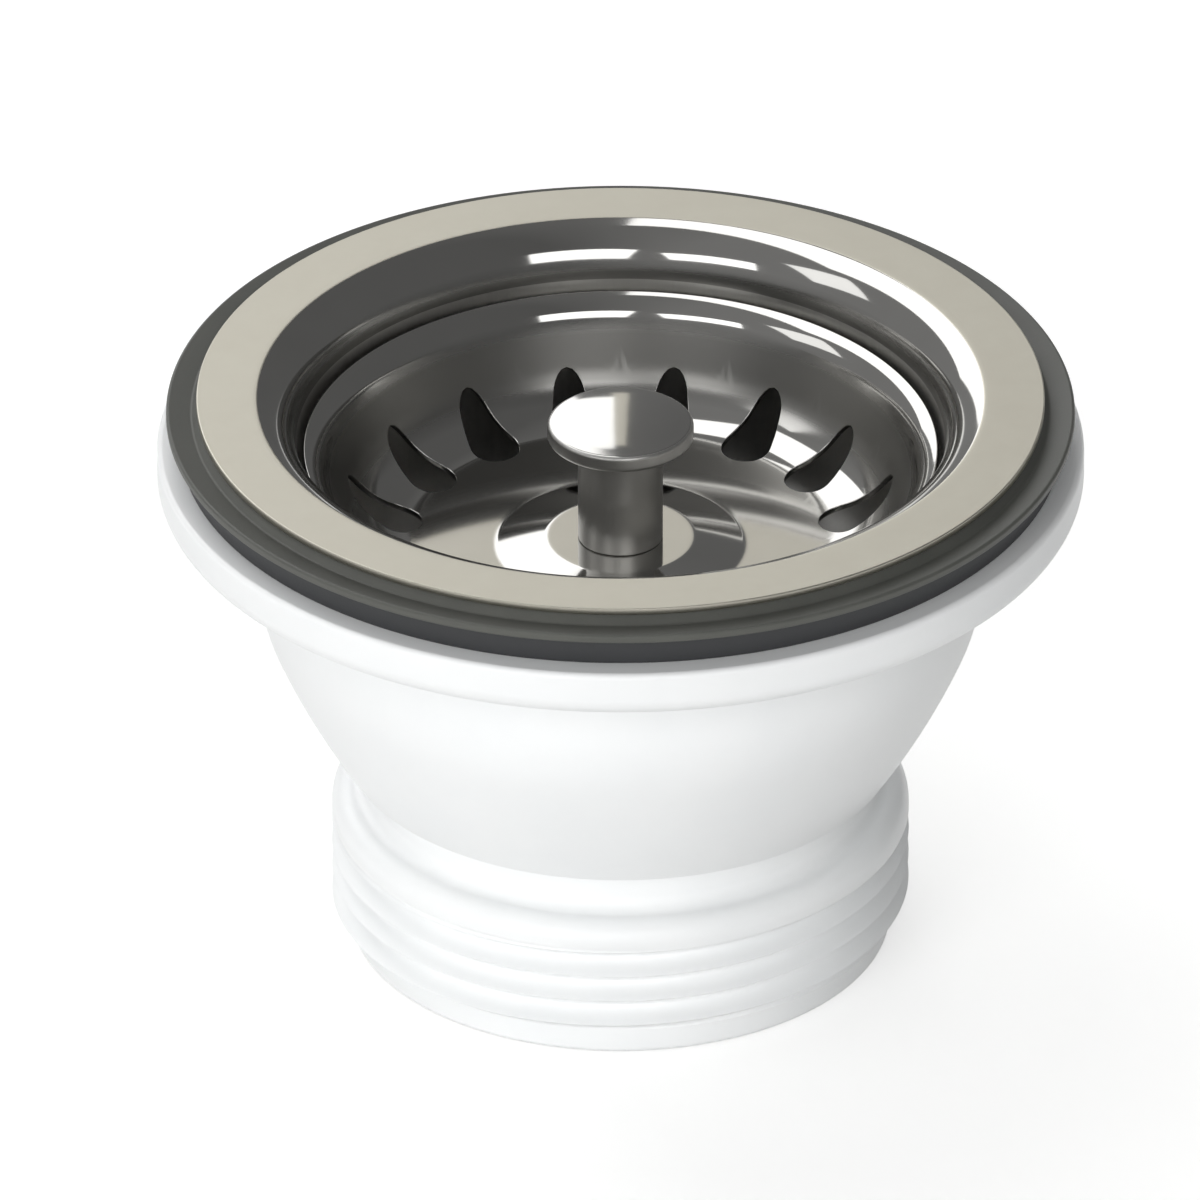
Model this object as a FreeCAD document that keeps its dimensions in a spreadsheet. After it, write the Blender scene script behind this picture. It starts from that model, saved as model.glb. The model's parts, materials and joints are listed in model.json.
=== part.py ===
"""Basket strainer waste for a kitchen sink, in millimetres with +Z up.

The axis of the waste is the Z axis and the origin is in the middle of the outlet's lower end.
The sizes chain upwards and outwards: the outlet carries the cup, the cup carries the gaskets and the
steel flange, and the bowl is as deep as the basket, stopper and screw head need.
"""
import FreeCAD
import Part
import Sketcher
import math
import os
from types import SimpleNamespace

# Driving sizes, each a cell of the Sizes sheet
SIZES = {
    # Pressed basket
    "basket_rim_radius": 26.13,
    "basket_edge_round": 0.15,
    "basket_flare_width": 1.35,
    "basket_flare_drop": 0.59,
    "basket_flare_round": 3.0,
    "basket_sheet": 0.5,
    "basket_depth": 9.1,
    "basket_taper": 3.43,
    "basket_corner_round": 6.2,
    "pad_radius": 6.2,
    "pad_slope_width": 4.0,
    "pad_height": 0.7,
    "slot_count": 16,
    "slot_reach_in": 4.6,
    "slot_reach_out": 1.85,
    "slot_inner_width": 4.1,
    "slot_outer_width": 3.0,
    # Turned knob with its spigot and guide pin
    "knob_radius": 6.05,
    "knob_thickness": 1.7,
    "knob_rise": 11.3,
    "knob_round": 0.4,
    "stem_radius": 3.5,
    "stem_round": 0.6,
    "spigot_radius": 2.5,
    "pin_radius": 1.9,
    "pin_engagement": 11.6,
    "pin_groove_depth": 0.5,
    "catch_ring_section": 0.9,
    "catch_ring_rise": 2.0,
    "hole_gap": 0.1,
    # Stopper under the basket
    "backing_washer_radius": 12.0,
    "backing_washer_thickness": 0.8,
    "seal_hub_radius": 13.0,
    "seal_hub_thickness": 2.2,
    "seal_lip_radius": 16.2,
    "seal_lip_thickness": 1.6,
    "seal_lip_edge": 0.9,
    "seal_gap": 0.3,
    "clamp_washer_radius": 7.0,
    "clamp_washer_thickness": 0.8,
    "nut_flats": 8.0,
    "nut_height": 2.7,
    # Pressed flange and bowl
    "basket_drop": 4.8,
    "basket_gap": 0.85,
    "bowl_mouth_drop": 1.19,
    "bowl_mouth_spread": 3.02,
    "bowl_taper": 1.38,
    "bowl_sheet": 0.6,
    "bowl_corner_round": 6.0,
    "bowl_neck_round": 3.9,
    "lip_round": 0.1,
    "flange_width": 5.0,
    "drain_count": 8,
    "drain_hole_radius": 3.0,
    "drain_margin": 0.4,
    "nut_gap": 0.5,
    # Hollow centre screw and its insert
    "screw_head_radius": 7.0,
    "screw_head_height": 1.8,
    "screw_head_round": 0.5,
    "screw_radius": 4.0,
    "screw_inset": 1.0,
    "screw_slot_width": 2.0,
    "screw_slot_depth": 1.0,
    "insert_radius": 6.0,
    "insert_length": 9.0,
    "insert_waist": 0.6,
    "thread_gap": 0.05,
    "pin_gap": 0.5,
    # Gaskets
    "gasket_gap": 0.95,
    "upper_gasket_thickness": 1.3,
    "upper_gasket_reach": 2.5,
    "upper_gasket_flat": 0.2,
    "upper_gasket_edge": 0.8,
    "lower_gasket_thickness": 2.55,
    "lower_gasket_reach": 1.4,
    "gasket_round": 0.35,
    # Moulded body: rim, cup, neck and outlet
    "rim_reach": 3.27,
    "rim_thickness": 4.2,
    "rim_round": 1.8,
    "rim_edge_round": 0.5,
    "rim_root_round": 1.2,
    "bowl_clearance": 0.32,
    "body_wall": 2.15,
    "cup_side_height": 7.05,
    "cup_bend_height": 5.8,
    "cup_bend_inset": 1.15,
    "cup_taper_height": 11.3,
    "foot_overhang": 1.9,
    "neck_height": 3.9,
    "neck_round": 0.8,
    "shoulder_round": 2.2,
    "thread_radius": 23.9,
    "thread_length": 7.9,
    "thread_step": 1.55,
    "lead_length": 2.85,
    "lead_round": 0.5,
    "outlet_wall": 5.05,
    # Ribs and hub inside the outlet
    "rib_count": 4,
    "rib_thickness": 2.2,
    "rib_height": 8.0,
    "hub_radius": 8.5,
}

TOUCH = 1e-4
TANGENT = "tangent"


class Size:
    """A length with its value in millimetres and the sheet expression that gives it."""

    def __init__(self, value, text):
        self.value = value
        self.text = text

    def joined(self, sign, other, value):
        return Size(value, f"({self.text} {sign} {other.text})")

    def __add__(self, other):
        return self.joined("+", other, self.value + other.value)

    def __sub__(self, other):
        return self.joined("-", other, self.value - other.value)

    def __mul__(self, other):
        return self.joined("*", other, self.value * other.value)

    def __truediv__(self, other):
        return self.joined("/", other, self.value / other.value)

    def at_most(self, other):
        return Size(min(self.value, other.value), f"min({self.text}; {other.text})")


def plain(number):
    return Size(number, str(number))


ZERO = plain(0)
TWO = plain(2)
THREE = plain(3)
ROOM = plain(0.9)
HALF_MORE = plain(1.5)


def make_sheet(doc):
    """Write the driving sizes to a sheet and return them as Size values."""
    sheet = doc.addObject("Spreadsheet::Sheet", "Sizes")
    for row, (alias, value) in enumerate(SIZES.items(), start=1):
        sheet.set(f"A{row}", alias.replace("_", " "))
        sheet.set(f"B{row}", str(value))
        sheet.setAlias(f"B{row}", alias)
    doc.recompute()
    return SimpleNamespace(**{alias: Size(value, f"Sizes.{alias}") for alias, value in SIZES.items()})


doc = FreeCAD.newDocument("BasketStrainerWaste")
s = make_sheet(doc)

# Heights of the body, from the outlet's end upwards
shoulder_z = s.lead_length + s.thread_length + s.shoulder_round
foot_z = shoulder_z + s.neck_height
bend_z = foot_z + s.cup_taper_height
side_z = bend_z + s.cup_bend_height
rim_z = side_z + s.cup_side_height
rim_top = rim_z + s.rim_thickness
upper_gasket_z = rim_top + s.lower_gasket_thickness
flange_top = upper_gasket_z + s.upper_gasket_thickness + s.bowl_sheet

# Heights of the basket's stack, from the flange's top downwards
basket_z = flange_top - s.basket_drop - s.basket_depth - s.basket_sheet
pad_top = basket_z + s.basket_sheet + s.pad_height
backing_washer_z = basket_z - s.backing_washer_thickness
clamp_washer_z = backing_washer_z - s.seal_hub_thickness - s.clamp_washer_thickness
nut_z = clamp_washer_z - s.nut_height
screw_head_top = nut_z - s.nut_gap
bowl_floor_top = screw_head_top - s.screw_head_height
bowl_z = bowl_floor_top - s.bowl_sheet
seal_z = bowl_floor_top + s.seal_gap
knob_z = screw_head_top - s.pin_engagement

# Radii that follow one another from the basket outwards
bowl_neck_radius = s.basket_rim_radius + s.basket_gap
bowl_mouth_radius = bowl_neck_radius + s.bowl_mouth_spread
flange_radius = bowl_mouth_radius + s.flange_width
gasket_bore = bowl_mouth_radius + s.gasket_gap
cup_inner_radius = bowl_neck_radius + s.bowl_sheet + s.bowl_clearance
cup_outer_radius = cup_inner_radius + s.body_wall
cup_bend_radius = cup_outer_radius - s.cup_bend_inset
rim_radius = flange_radius + s.rim_reach
basket_corner_radius = s.basket_rim_radius - s.basket_flare_width - s.basket_taper

# Radii of the outlet
outlet_bore = s.thread_radius - s.outlet_wall
neck_radius = outlet_bore + s.body_wall
foot_radius = neck_radius + s.foot_overhang
lead_radius = s.thread_radius - s.thread_step

# Hub and ribs
rib_z = foot_z - s.rib_height
spigot_hole = s.spigot_radius + s.hole_gap
screw_hole = s.screw_radius + s.hole_gap
screw_bore = s.pin_radius + s.pin_gap
screw_z = rib_z + s.screw_inset


def make_body(label, height=ZERO):
    """New body whose own origin stands at a height on the axis."""
    body = doc.addObject("PartDesign::Body", label)
    body.Label = label
    body.setExpression("Placement.Base.z", height.text)
    return body


def make_sketch(body, name, role, lift=ZERO):
    """New sketch on one of the body's own origin planes, lifted along that plane's normal."""
    sketch = body.newObject("Sketcher::SketchObject", name)
    plane = next(item for item in body.Origin.OriginFeatures if item.Role == role)
    sketch.AttachmentSupport = (plane, [""])
    sketch.MapMode = "FlatFace"
    sketch.setExpression("AttachmentOffset.Base.z", lift.text)
    return sketch


def constrain(sketch, kind, places, size):
    """Add a dimension and bind it to the sheet."""
    index = sketch.addConstraint(Sketcher.Constraint(kind, *places, size.value))
    sketch.setExpression(f"Constraints[{index}]", size.text)


def pin(sketch, curve, end, across, along):
    """Hold a point of a curve at its two coordinates, on an axis of the sketch where one is zero."""
    level_axis = -1
    upright_axis = -2
    for kind, axis, size in (("DistanceX", upright_axis, across), ("DistanceY", level_axis, along)):
        if size is ZERO:
            sketch.addConstraint(Sketcher.Constraint("PointOnObject", curve, end, axis))
        else:
            constrain(sketch, kind, (level_axis, 1, curve, end), size)


def spot(corner):
    return FreeCAD.Vector(corner[0].value, corner[1].value, 0)


def line(sketch, start, end):
    return sketch.addGeometry(Part.LineSegment(start, end))


def tangent_arc(sketch, start, heading, end):
    """Arc that leaves start along heading and reaches end. Returns its curve and end numbers, and last heading."""
    left = FreeCAD.Vector(-heading.y, heading.x, 0)
    chord = end - start
    reach = chord.Length ** 2 / (2 * chord.dot(left))
    centre = start + left * reach
    from_angle = math.atan2(start.y - centre.y, start.x - centre.x)
    to_angle = math.atan2(end.y - centre.y, end.x - centre.x)
    circle = Part.Circle(centre, FreeCAD.Vector(0, 0, 1), abs(reach))
    if reach > 0:
        curve = sketch.addGeometry(Part.ArcOfCircle(circle, from_angle, to_angle))
        ends = (1, 2)
    else:
        curve = sketch.addGeometry(Part.ArcOfCircle(circle, to_angle, from_angle))
        ends = (2, 1)
    turn = 2 * heading.getAngle(chord) * math.copysign(1, reach)
    last = FreeCAD.Rotation(FreeCAD.Vector(0, 0, 1), math.degrees(turn)).multVec(heading)
    return curve, ends, last


def draw_outline(sketch, corners):
    """Closed outline through the corners. A corner marked TANGENT is reached by a tangent arc."""
    runs = []
    heading = None
    for start, end in zip(corners, corners[1:] + corners[:1]):
        if TANGENT in end:
            curve, ends, heading = tangent_arc(sketch, spot(start), heading, spot(end))
        else:
            curve = line(sketch, spot(start), spot(end))
            ends = (1, 2)
            heading = (spot(end) - spot(start)).normalize()
        runs.append((curve, ends, TANGENT in end))
        pin(sketch, curve, ends[0], start[0], start[1])
    for (before, before_ends, _), (after, after_ends, bends) in zip(runs, runs[1:] + runs[:1]):
        kind = "Tangent" if bends else "Coincident"
        sketch.addConstraint(Sketcher.Constraint(kind, before, before_ends[1], after, after_ends[0]))


def draw_circle(sketch, across, along, radius):
    """Circle of a sheet radius about a point."""
    centre = FreeCAD.Vector(across.value, along.value, 0)
    circle = sketch.addGeometry(Part.Circle(centre, FreeCAD.Vector(0, 0, 1), radius.value))
    pin(sketch, circle, 3, across, along)
    constrain(sketch, "Radius", (circle,), radius)


def half_step_round(radius, count):
    """Point at a radius, half a step of a polar pattern round from the X axis."""
    angle = math.pi / count.value
    across = Size(radius.value * math.cos(angle), f"({radius.text} * cos(180 deg / {count.text}))")
    along = Size(radius.value * math.sin(angle), f"({radius.text} * sin(180 deg / {count.text}))")
    return across, along


def underside(points, thickness):
    """Corners that lie a sheet's thickness to the left of a run of points."""
    steps = [(b - a).normalize() for a, b in zip(points, points[1:])]
    sides = [FreeCAD.Vector(-step.y, step.x, 0) for step in steps]
    corners = [points[0] + sides[0] * thickness]
    for point, before, after in zip(points[1:-1], sides, sides[1:]):
        both = before + after
        corners.append(point + both * (2 * thickness / both.dot(both)))
    corners.append(points[-1] + sides[-1] * thickness)
    return corners


def draw_sheet(sketch, corners, thickness):
    """Section of a pressed sheet: the upper side is pinned, the underside runs parallel to it."""
    upper = [spot(corner) for corner in corners]
    under = underside(upper, thickness.value)
    tops = [line(sketch, a, b) for a, b in zip(upper, upper[1:])]
    last_cap = line(sketch, upper[-1], under[-1])
    backs = [line(sketch, b, a) for a, b in zip(under, under[1:])]
    first_cap = line(sketch, under[0], upper[0])
    for corner, top in zip(corners, tops):
        pin(sketch, top, 1, corner[0], corner[1])
    pin(sketch, tops[-1], 2, corners[-1][0], corners[-1][1])
    loop = tops + [last_cap] + backs[::-1] + [first_cap]
    for before, after in zip(loop, loop[1:] + loop[:1]):
        sketch.addConstraint(Sketcher.Constraint("Coincident", before, 2, after, 1))
    for top, back in zip(tops, backs):
        sketch.addConstraint(Sketcher.Constraint("Parallel", top, back))
        constrain(sketch, "Distance", (back, 2, top), thickness)
    sketch.addConstraint(Sketcher.Constraint("Perpendicular", tops[-1], last_cap))
    sketch.addConstraint(Sketcher.Constraint("Perpendicular", tops[0], first_cap))
    return [(corner.x, corner.y) for corner in under]


def turn(body, name, sketch, kind="PartDesign::Revolution"):
    """Solid of revolution, or a turned cut, about the sketch's upright axis."""
    feature = body.newObject(kind, name)
    feature.Profile = sketch
    feature.ReferenceAxis = (sketch, ["V_Axis"])
    feature.Angle = 360
    doc.recompute()
    return feature


def turned(body, name, corners, kind="PartDesign::Revolution"):
    """Solid of revolution, or a turned cut, from a closed outline."""
    sketch = make_sketch(body, f"{name}Section", "XZ_Plane")
    draw_outline(sketch, corners)
    return turn(body, name, sketch, kind)


def round_edges(body, name, base, radius, corners):
    """Fillet on the circular edges that pass through the given corners of the section."""
    names = []
    for across, along in corners:
        for index, edge in enumerate(base.Shape.Edges, start=1):
            curve = edge.Curve
            if not isinstance(curve, Part.Circle):
                continue
            if abs(curve.Radius - across) < TOUCH and abs(curve.Center.z - along) < TOUCH:
                names.append(f"Edge{index}")
    if len(names) != len(corners):
        raise ValueError(f"{body.Label} {name}: an edge to round is missing")
    feature = body.newObject("PartDesign::Fillet", name)
    feature.Base = (base, names)
    feature.setExpression("Radius", radius.text)
    doc.recompute()
    return feature


def at(across, along):
    return (across.value, along.value)


def repeat(body, name, feature, sketch, count):
    """Copies of a feature round the axis."""
    pattern = body.newObject("PartDesign::PolarPattern", name)
    pattern.Originals = [feature]
    pattern.Axis = (sketch, ["N_Axis"])
    pattern.Angle = 360
    pattern.setExpression("Occurrences", count.text)
    body.Tip = pattern
    doc.recompute()
    return pattern


def punch(body, name, sketch):
    """Cut upwards from the sketch through everything above it, and make sure that it cut."""
    before = body.Shape.Volume
    pocket = body.newObject("PartDesign::Pocket", name)
    pocket.Profile = sketch
    pocket.Type = "ThroughAll"
    pocket.Reversed = True
    doc.recompute()
    if body.Shape.Volume >= before:
        raise ValueError(f"{body.Label} {name}: nothing was cut")
    return pocket


def pad(body, name, sketch, length):
    """Solid raised from the sketch."""
    feature = body.newObject("PartDesign::Pad", name)
    feature.Profile = sketch
    feature.setExpression("Length", length.text)
    doc.recompute()
    return feature


def make_ring(label, height, bore, radius, thickness, rounding=None):
    """Flat ring, with its two outer edges rounded where a rounding is given."""
    body = make_body(label, height)
    corners = [(bore, ZERO), (radius, ZERO), (radius, thickness), (bore, thickness)]
    ring = turned(body, "Ring", corners)
    if rounding is not None:
        round_edges(body, "Edges", ring, rounding.at_most(thickness / THREE),
                    [at(radius, ZERO), at(radius, thickness)])
    return body


def make_moulded_body():
    """White moulding: outlet, neck, cup and rim turned in one section, then the ribs and hub inside."""
    body = make_body("body")
    turned(body, "Outside", [
        (ZERO, rim_top),
        (rim_radius, rim_top),
        (rim_radius, rim_z),
        (cup_outer_radius, rim_z),
        (cup_outer_radius, side_z),
        (cup_bend_radius, bend_z, TANGENT),
        (foot_radius, foot_z, TANGENT),
        (neck_radius, foot_z),
        (neck_radius, shoulder_z),
        (s.thread_radius, shoulder_z),
        (s.thread_radius, s.lead_length),
        (lead_radius, s.lead_length),
        (lead_radius, ZERO),
        (ZERO, ZERO),
    ])
    shell = turned(body, "Inside", [
        (ZERO, rim_top),
        (gasket_bore, rim_top),
        (cup_inner_radius, rim_z),
        (cup_inner_radius, side_z),
        (cup_bend_radius - s.body_wall, bend_z, TANGENT),
        (outlet_bore, foot_z, TANGENT),
        (outlet_bore, ZERO),
        (ZERO, ZERO),
    ], "PartDesign::Groove")
    ledge = s.thread_radius - neck_radius
    shell = round_edges(body, "RimRound", shell, s.rim_round.at_most(s.rim_thickness / TWO),
                        [at(rim_radius, rim_z)])
    shell = round_edges(body, "RimEdge", shell, s.rim_edge_round.at_most(s.rim_thickness / THREE),
                        [at(rim_radius, rim_top)])
    shell = round_edges(body, "RimRoot", shell, s.rim_root_round.at_most(s.rim_reach),
                        [at(cup_outer_radius, rim_z)])
    shell = round_edges(body, "Shoulder", shell, s.shoulder_round.at_most(ledge * ROOM),
                        [at(s.thread_radius, shoulder_z)])
    shell = round_edges(body, "NeckTop", shell, s.neck_round.at_most(s.foot_overhang / TWO),
                        [at(neck_radius, foot_z)])
    round_edges(body, "LeadRound", shell, s.lead_round.at_most(s.lead_length / THREE),
                [at(lead_radius, ZERO)])

    rib_sketch = make_sketch(body, "RibPlan", "XY_Plane", rib_z)
    half = s.rib_thickness / TWO
    rib_end = outlet_bore + s.body_wall / TWO
    draw_outline(rib_sketch, [(ZERO, ZERO - half), (rib_end, ZERO - half), (rib_end, half), (ZERO, half)])
    rib = pad(body, "Rib", rib_sketch, s.rib_height)
    repeat(body, "Ribs", rib, rib_sketch, s.rib_count)

    hub_sketch = make_sketch(body, "HubPlan", "XY_Plane", rib_z)
    draw_circle(hub_sketch, ZERO, ZERO, s.hub_radius)
    pad(body, "Hub", hub_sketch, bowl_z - rib_z)

    pocket_radius = s.insert_radius + s.thread_gap
    pocket_top = rib_z + s.insert_length
    turned(body, "HubBore", [
        (ZERO, rib_z),
        (pocket_radius, rib_z),
        (pocket_radius, pocket_top),
        (screw_hole, pocket_top),
        (screw_hole, bowl_z),
        (ZERO, bowl_z),
    ], "PartDesign::Groove")
    return body


def make_insert_nut():
    """Brass insert with a waist that keys it into the hub."""
    body = make_body("insert_nut", rib_z)
    bore = s.screw_radius + s.thread_gap
    waist = s.insert_radius - s.insert_waist
    third = s.insert_length / THREE
    turned(body, "Insert", [
        (bore, ZERO),
        (s.insert_radius, ZERO),
        (s.insert_radius, third),
        (waist, third),
        (waist, third * TWO),
        (s.insert_radius, third * TWO),
        (s.insert_radius, s.insert_length),
        (bore, s.insert_length),
    ])
    return body


def make_upper_gasket():
    """Gasket under the flange, bevelled where it shows outside the steel."""
    body = make_body("upper_gasket", upper_gasket_z)
    radius = flange_radius + s.upper_gasket_reach
    flat = flange_radius + s.upper_gasket_flat
    gasket = turned(body, "Ring", [
        (gasket_bore, ZERO),
        (radius, ZERO),
        (radius, s.upper_gasket_edge),
        (flat, s.upper_gasket_thickness),
        (gasket_bore, s.upper_gasket_thickness),
    ])
    round_edges(body, "Edges", gasket, s.gasket_round.at_most(s.upper_gasket_edge / THREE),
                [at(radius, ZERO), at(radius, s.upper_gasket_edge)])
    return body


def make_flange_bowl():
    """Flange and bowl pressed from one sheet, with a ring of drain holes in the floor."""
    body = make_body("flange_bowl", bowl_z)
    top = flange_top - bowl_z
    neck_z = top - s.bowl_mouth_drop
    floor = s.bowl_sheet
    foot = bowl_neck_radius - s.bowl_taper
    upper = [
        (flange_radius, top),
        (bowl_mouth_radius, top),
        (bowl_neck_radius, neck_z),
        (foot, floor),
        (screw_hole, floor),
    ]
    sketch = make_sketch(body, "BowlSection", "XZ_Plane")
    under = draw_sheet(sketch, upper, s.bowl_sheet)
    shell = turn(body, "Bowl", sketch)
    corner = s.bowl_corner_round
    shell = round_edges(body, "CornerIn", shell, corner, [at(foot, floor)])
    shell = round_edges(body, "CornerOut", shell, corner + s.bowl_sheet, [under[3]])
    neck = s.bowl_neck_round.at_most(s.bowl_mouth_spread * HALF_MORE - s.bowl_sheet)
    shell = round_edges(body, "NeckIn", shell, neck + s.bowl_sheet, [at(bowl_neck_radius, neck_z)])
    shell = round_edges(body, "NeckOut", shell, neck, [under[2]])
    shell = round_edges(body, "LipTop", shell, s.lip_round + s.bowl_sheet, [at(bowl_mouth_radius, top)])
    round_edges(body, "LipUnder", shell, s.lip_round, [under[1]])

    plan = make_sketch(body, "DrainPlan", "XY_Plane", ZERO - s.bowl_sheet)
    pitch = s.screw_head_radius + s.drain_margin + s.drain_hole_radius
    across, along = half_step_round(pitch, s.drain_count)
    draw_circle(plan, across, along, s.drain_hole_radius)
    hole = punch(body, "Drain", plan)
    repeat(body, "Drains", hole, plan, s.drain_count)
    return body


def make_centre_screw():
    """Hollow screw that clamps the bowl to the hub and guides the basket's pin."""
    body = make_body("centre_screw", screw_z)
    under_head = bowl_floor_top - screw_z
    top = under_head + s.screw_head_height
    screw = turned(body, "Screw", [
        (screw_bore, ZERO),
        (s.screw_radius, ZERO),
        (s.screw_radius, under_head),
        (s.screw_head_radius, under_head),
        (s.screw_head_radius, top),
        (screw_bore, top),
    ])
    round_edges(body, "HeadRound", screw, s.screw_head_round.at_most(s.screw_head_height / THREE),
                [at(s.screw_head_radius, top)])
    plan = make_sketch(body, "SlotPlan", "XY_Plane", top - s.screw_slot_depth)
    half = s.screw_slot_width / TWO
    reach = s.screw_head_radius + s.screw_slot_depth
    draw_outline(plan, [
        (ZERO - reach, ZERO - half),
        (reach, ZERO - half),
        (reach, half),
        (ZERO - reach, half),
    ])
    punch(body, "DriverSlot", plan)
    return body


def make_basket():
    """Pressed basket: embossed floor, leaning wall, flared rim and a ring of punched slots."""
    body = make_body("basket", basket_z)
    floor = s.basket_sheet
    rim_height = floor + s.basket_depth
    flare_radius = s.basket_rim_radius - s.basket_flare_width
    flare_height = rim_height - s.basket_flare_drop
    pad_foot = s.pad_radius + s.pad_slope_width
    upper = [
        (s.basket_rim_radius, rim_height),
        (flare_radius, flare_height),
        (basket_corner_radius, floor),
        (pad_foot, floor),
        (s.pad_radius, floor + s.pad_height),
        (spigot_hole, floor + s.pad_height),
    ]
    sketch = make_sketch(body, "BasketSection", "XZ_Plane")
    under = draw_sheet(sketch, upper, s.basket_sheet)
    shell = turn(body, "Basket", sketch)
    corner = s.basket_corner_round
    shell = round_edges(body, "CornerIn", shell, corner, [at(basket_corner_radius, floor)])
    shell = round_edges(body, "CornerOut", shell, corner + s.basket_sheet, [under[2]])
    flare = s.basket_flare_round.at_most(s.basket_flare_width * THREE * ROOM)
    shell = round_edges(body, "FlareIn", shell, flare, [at(flare_radius, flare_height)])
    shell = round_edges(body, "FlareOut", shell, flare - s.basket_sheet, [under[1]])
    round_edges(body, "RimEdge", shell, s.basket_edge_round.at_most(s.basket_sheet / THREE),
                [at(s.basket_rim_radius, rim_height), under[0]])

    plan = make_sketch(body, "SlotPlan", "XY_Plane", ZERO - s.basket_sheet)
    draw_slot(plan)
    slot = punch(body, "Slot", plan)
    repeat(body, "Slots", slot, plan, s.slot_count)
    return body


def draw_slot(plan):
    """Slot along a radius, half a step round from the X axis, wider at its inner end."""
    level_axis = -1
    origin = (level_axis, 1)
    half_step = math.pi / s.slot_count.value
    out = FreeCAD.Vector(math.cos(half_step), math.sin(half_step), 0)
    ends = [
        (basket_corner_radius - s.slot_reach_in + s.slot_inner_width / TWO, s.slot_inner_width / TWO, math.pi),
        (basket_corner_radius + s.slot_reach_out - s.slot_outer_width / TWO, s.slot_outer_width / TWO, 0),
    ]
    centre_line = line(plan, FreeCAD.Vector(), out * ends[1][0].value)
    plan.setConstruction(centre_line, True)
    plan.addConstraint(Sketcher.Constraint("Coincident", centre_line, 1, *origin))
    tilt = plan.addConstraint(Sketcher.Constraint("Angle", *origin, centre_line, 1, half_step))
    plan.setExpression(f"Constraints[{tilt}]", f"180 deg / {s.slot_count.text}")
    arcs = []
    for reach, radius, facing in ends:
        middle = half_step + facing
        circle = Part.Circle(out * reach.value, FreeCAD.Vector(0, 0, 1), radius.value)
        arc = plan.addGeometry(Part.ArcOfCircle(circle, middle - math.pi / 2, middle + math.pi / 2))
        plan.addConstraint(Sketcher.Constraint("PointOnObject", arc, 3, centre_line))
        constrain(plan, "Distance", (*origin, arc, 3), reach)
        constrain(plan, "Radius", (arc,), radius)
        arcs.append(arc)
    inner, outer = arcs
    for first, last in ((inner, outer), (outer, inner)):
        start = plan.getPoint(first, 2)
        end = plan.getPoint(last, 1)
        side = line(plan, start, end)
        plan.addConstraint(Sketcher.Constraint("Tangent", first, 2, side, 1))
        plan.addConstraint(Sketcher.Constraint("Tangent", side, 2, last, 1))


def make_knob():
    """Turned knob: head, stem, threaded spigot and the guide pin with a groove for the catch ring."""
    body = make_body("knob", knob_z)
    groove = s.pin_radius - s.pin_groove_depth
    groove_half = s.catch_ring_section / TWO + s.hole_gap
    groove_low = s.catch_ring_rise - groove_half
    groove_high = s.catch_ring_rise + groove_half
    spigot_low = nut_z - knob_z
    foot = pad_top - knob_z
    top = foot + s.knob_rise
    head_low = top - s.knob_thickness
    knob = turned(body, "Knob", [
        (ZERO, ZERO),
        (s.pin_radius, ZERO),
        (s.pin_radius, groove_low),
        (groove, groove_low),
        (groove, groove_high),
        (s.pin_radius, groove_high),
        (s.pin_radius, spigot_low),
        (s.spigot_radius, spigot_low),
        (s.spigot_radius, foot),
        (s.stem_radius, foot),
        (s.stem_radius, head_low),
        (s.knob_radius, head_low),
        (s.knob_radius, top),
        (ZERO, top),
    ])
    overhang = s.knob_radius - s.stem_radius
    knob = round_edges(body, "HeadRound", knob, s.knob_round.at_most(s.knob_thickness / THREE),
                       [at(s.knob_radius, head_low), at(s.knob_radius, top)])
    round_edges(body, "StemRound", knob, s.stem_round.at_most(overhang / THREE), [at(s.stem_radius, head_low)])
    return body


def make_stopper_seal():
    """Bell-shaped rubber stopper whose lip comes down round the drain holes."""
    body = make_body("stopper_seal", seal_z)
    height = backing_washer_z - seal_z
    hub_under = height - s.seal_hub_thickness
    turned(body, "Seal", [
        (spigot_hole, hub_under),
        (s.seal_hub_radius - s.seal_lip_thickness, hub_under),
        (s.seal_lip_radius - s.seal_lip_thickness, ZERO),
        (s.seal_lip_radius, ZERO),
        (s.seal_lip_radius, s.seal_lip_edge),
        (s.seal_hub_radius, height),
        (spigot_hole, height),
    ])
    return body


def make_lock_nut():
    """Hexagon nut on the spigot."""
    blank = doc.addObject("Part::Prism", "NutBlank")
    blank.Polygon = 6
    blank.setExpression("Circumradius", f"{s.nut_flats.text} / sqrt(3)")
    blank.setExpression("Height", s.nut_height.text)
    bore = doc.addObject("Part::Cylinder", "NutBore")
    bore.setExpression("Radius", (s.spigot_radius + s.thread_gap).text)
    bore.setExpression("Height", s.nut_height.text)
    nut = doc.addObject("Part::Cut", "lock_nut")
    nut.Label = "lock_nut"
    nut.Base = blank
    nut.Tool = bore
    nut.setExpression("Placement.Base.z", nut_z.text)
    return nut


def make_catch_ring():
    """Rubber ring in the pin's groove."""
    ring = doc.addObject("Part::Torus", "catch_ring")
    ring.Label = "catch_ring"
    groove = s.pin_radius - s.pin_groove_depth
    section = s.catch_ring_section / TWO
    ring.setExpression("Radius1", (groove + section).text)
    ring.setExpression("Radius2", section.text)
    ring.setExpression("Placement.Base.z", (knob_z + s.catch_ring_rise).text)
    return ring


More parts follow.
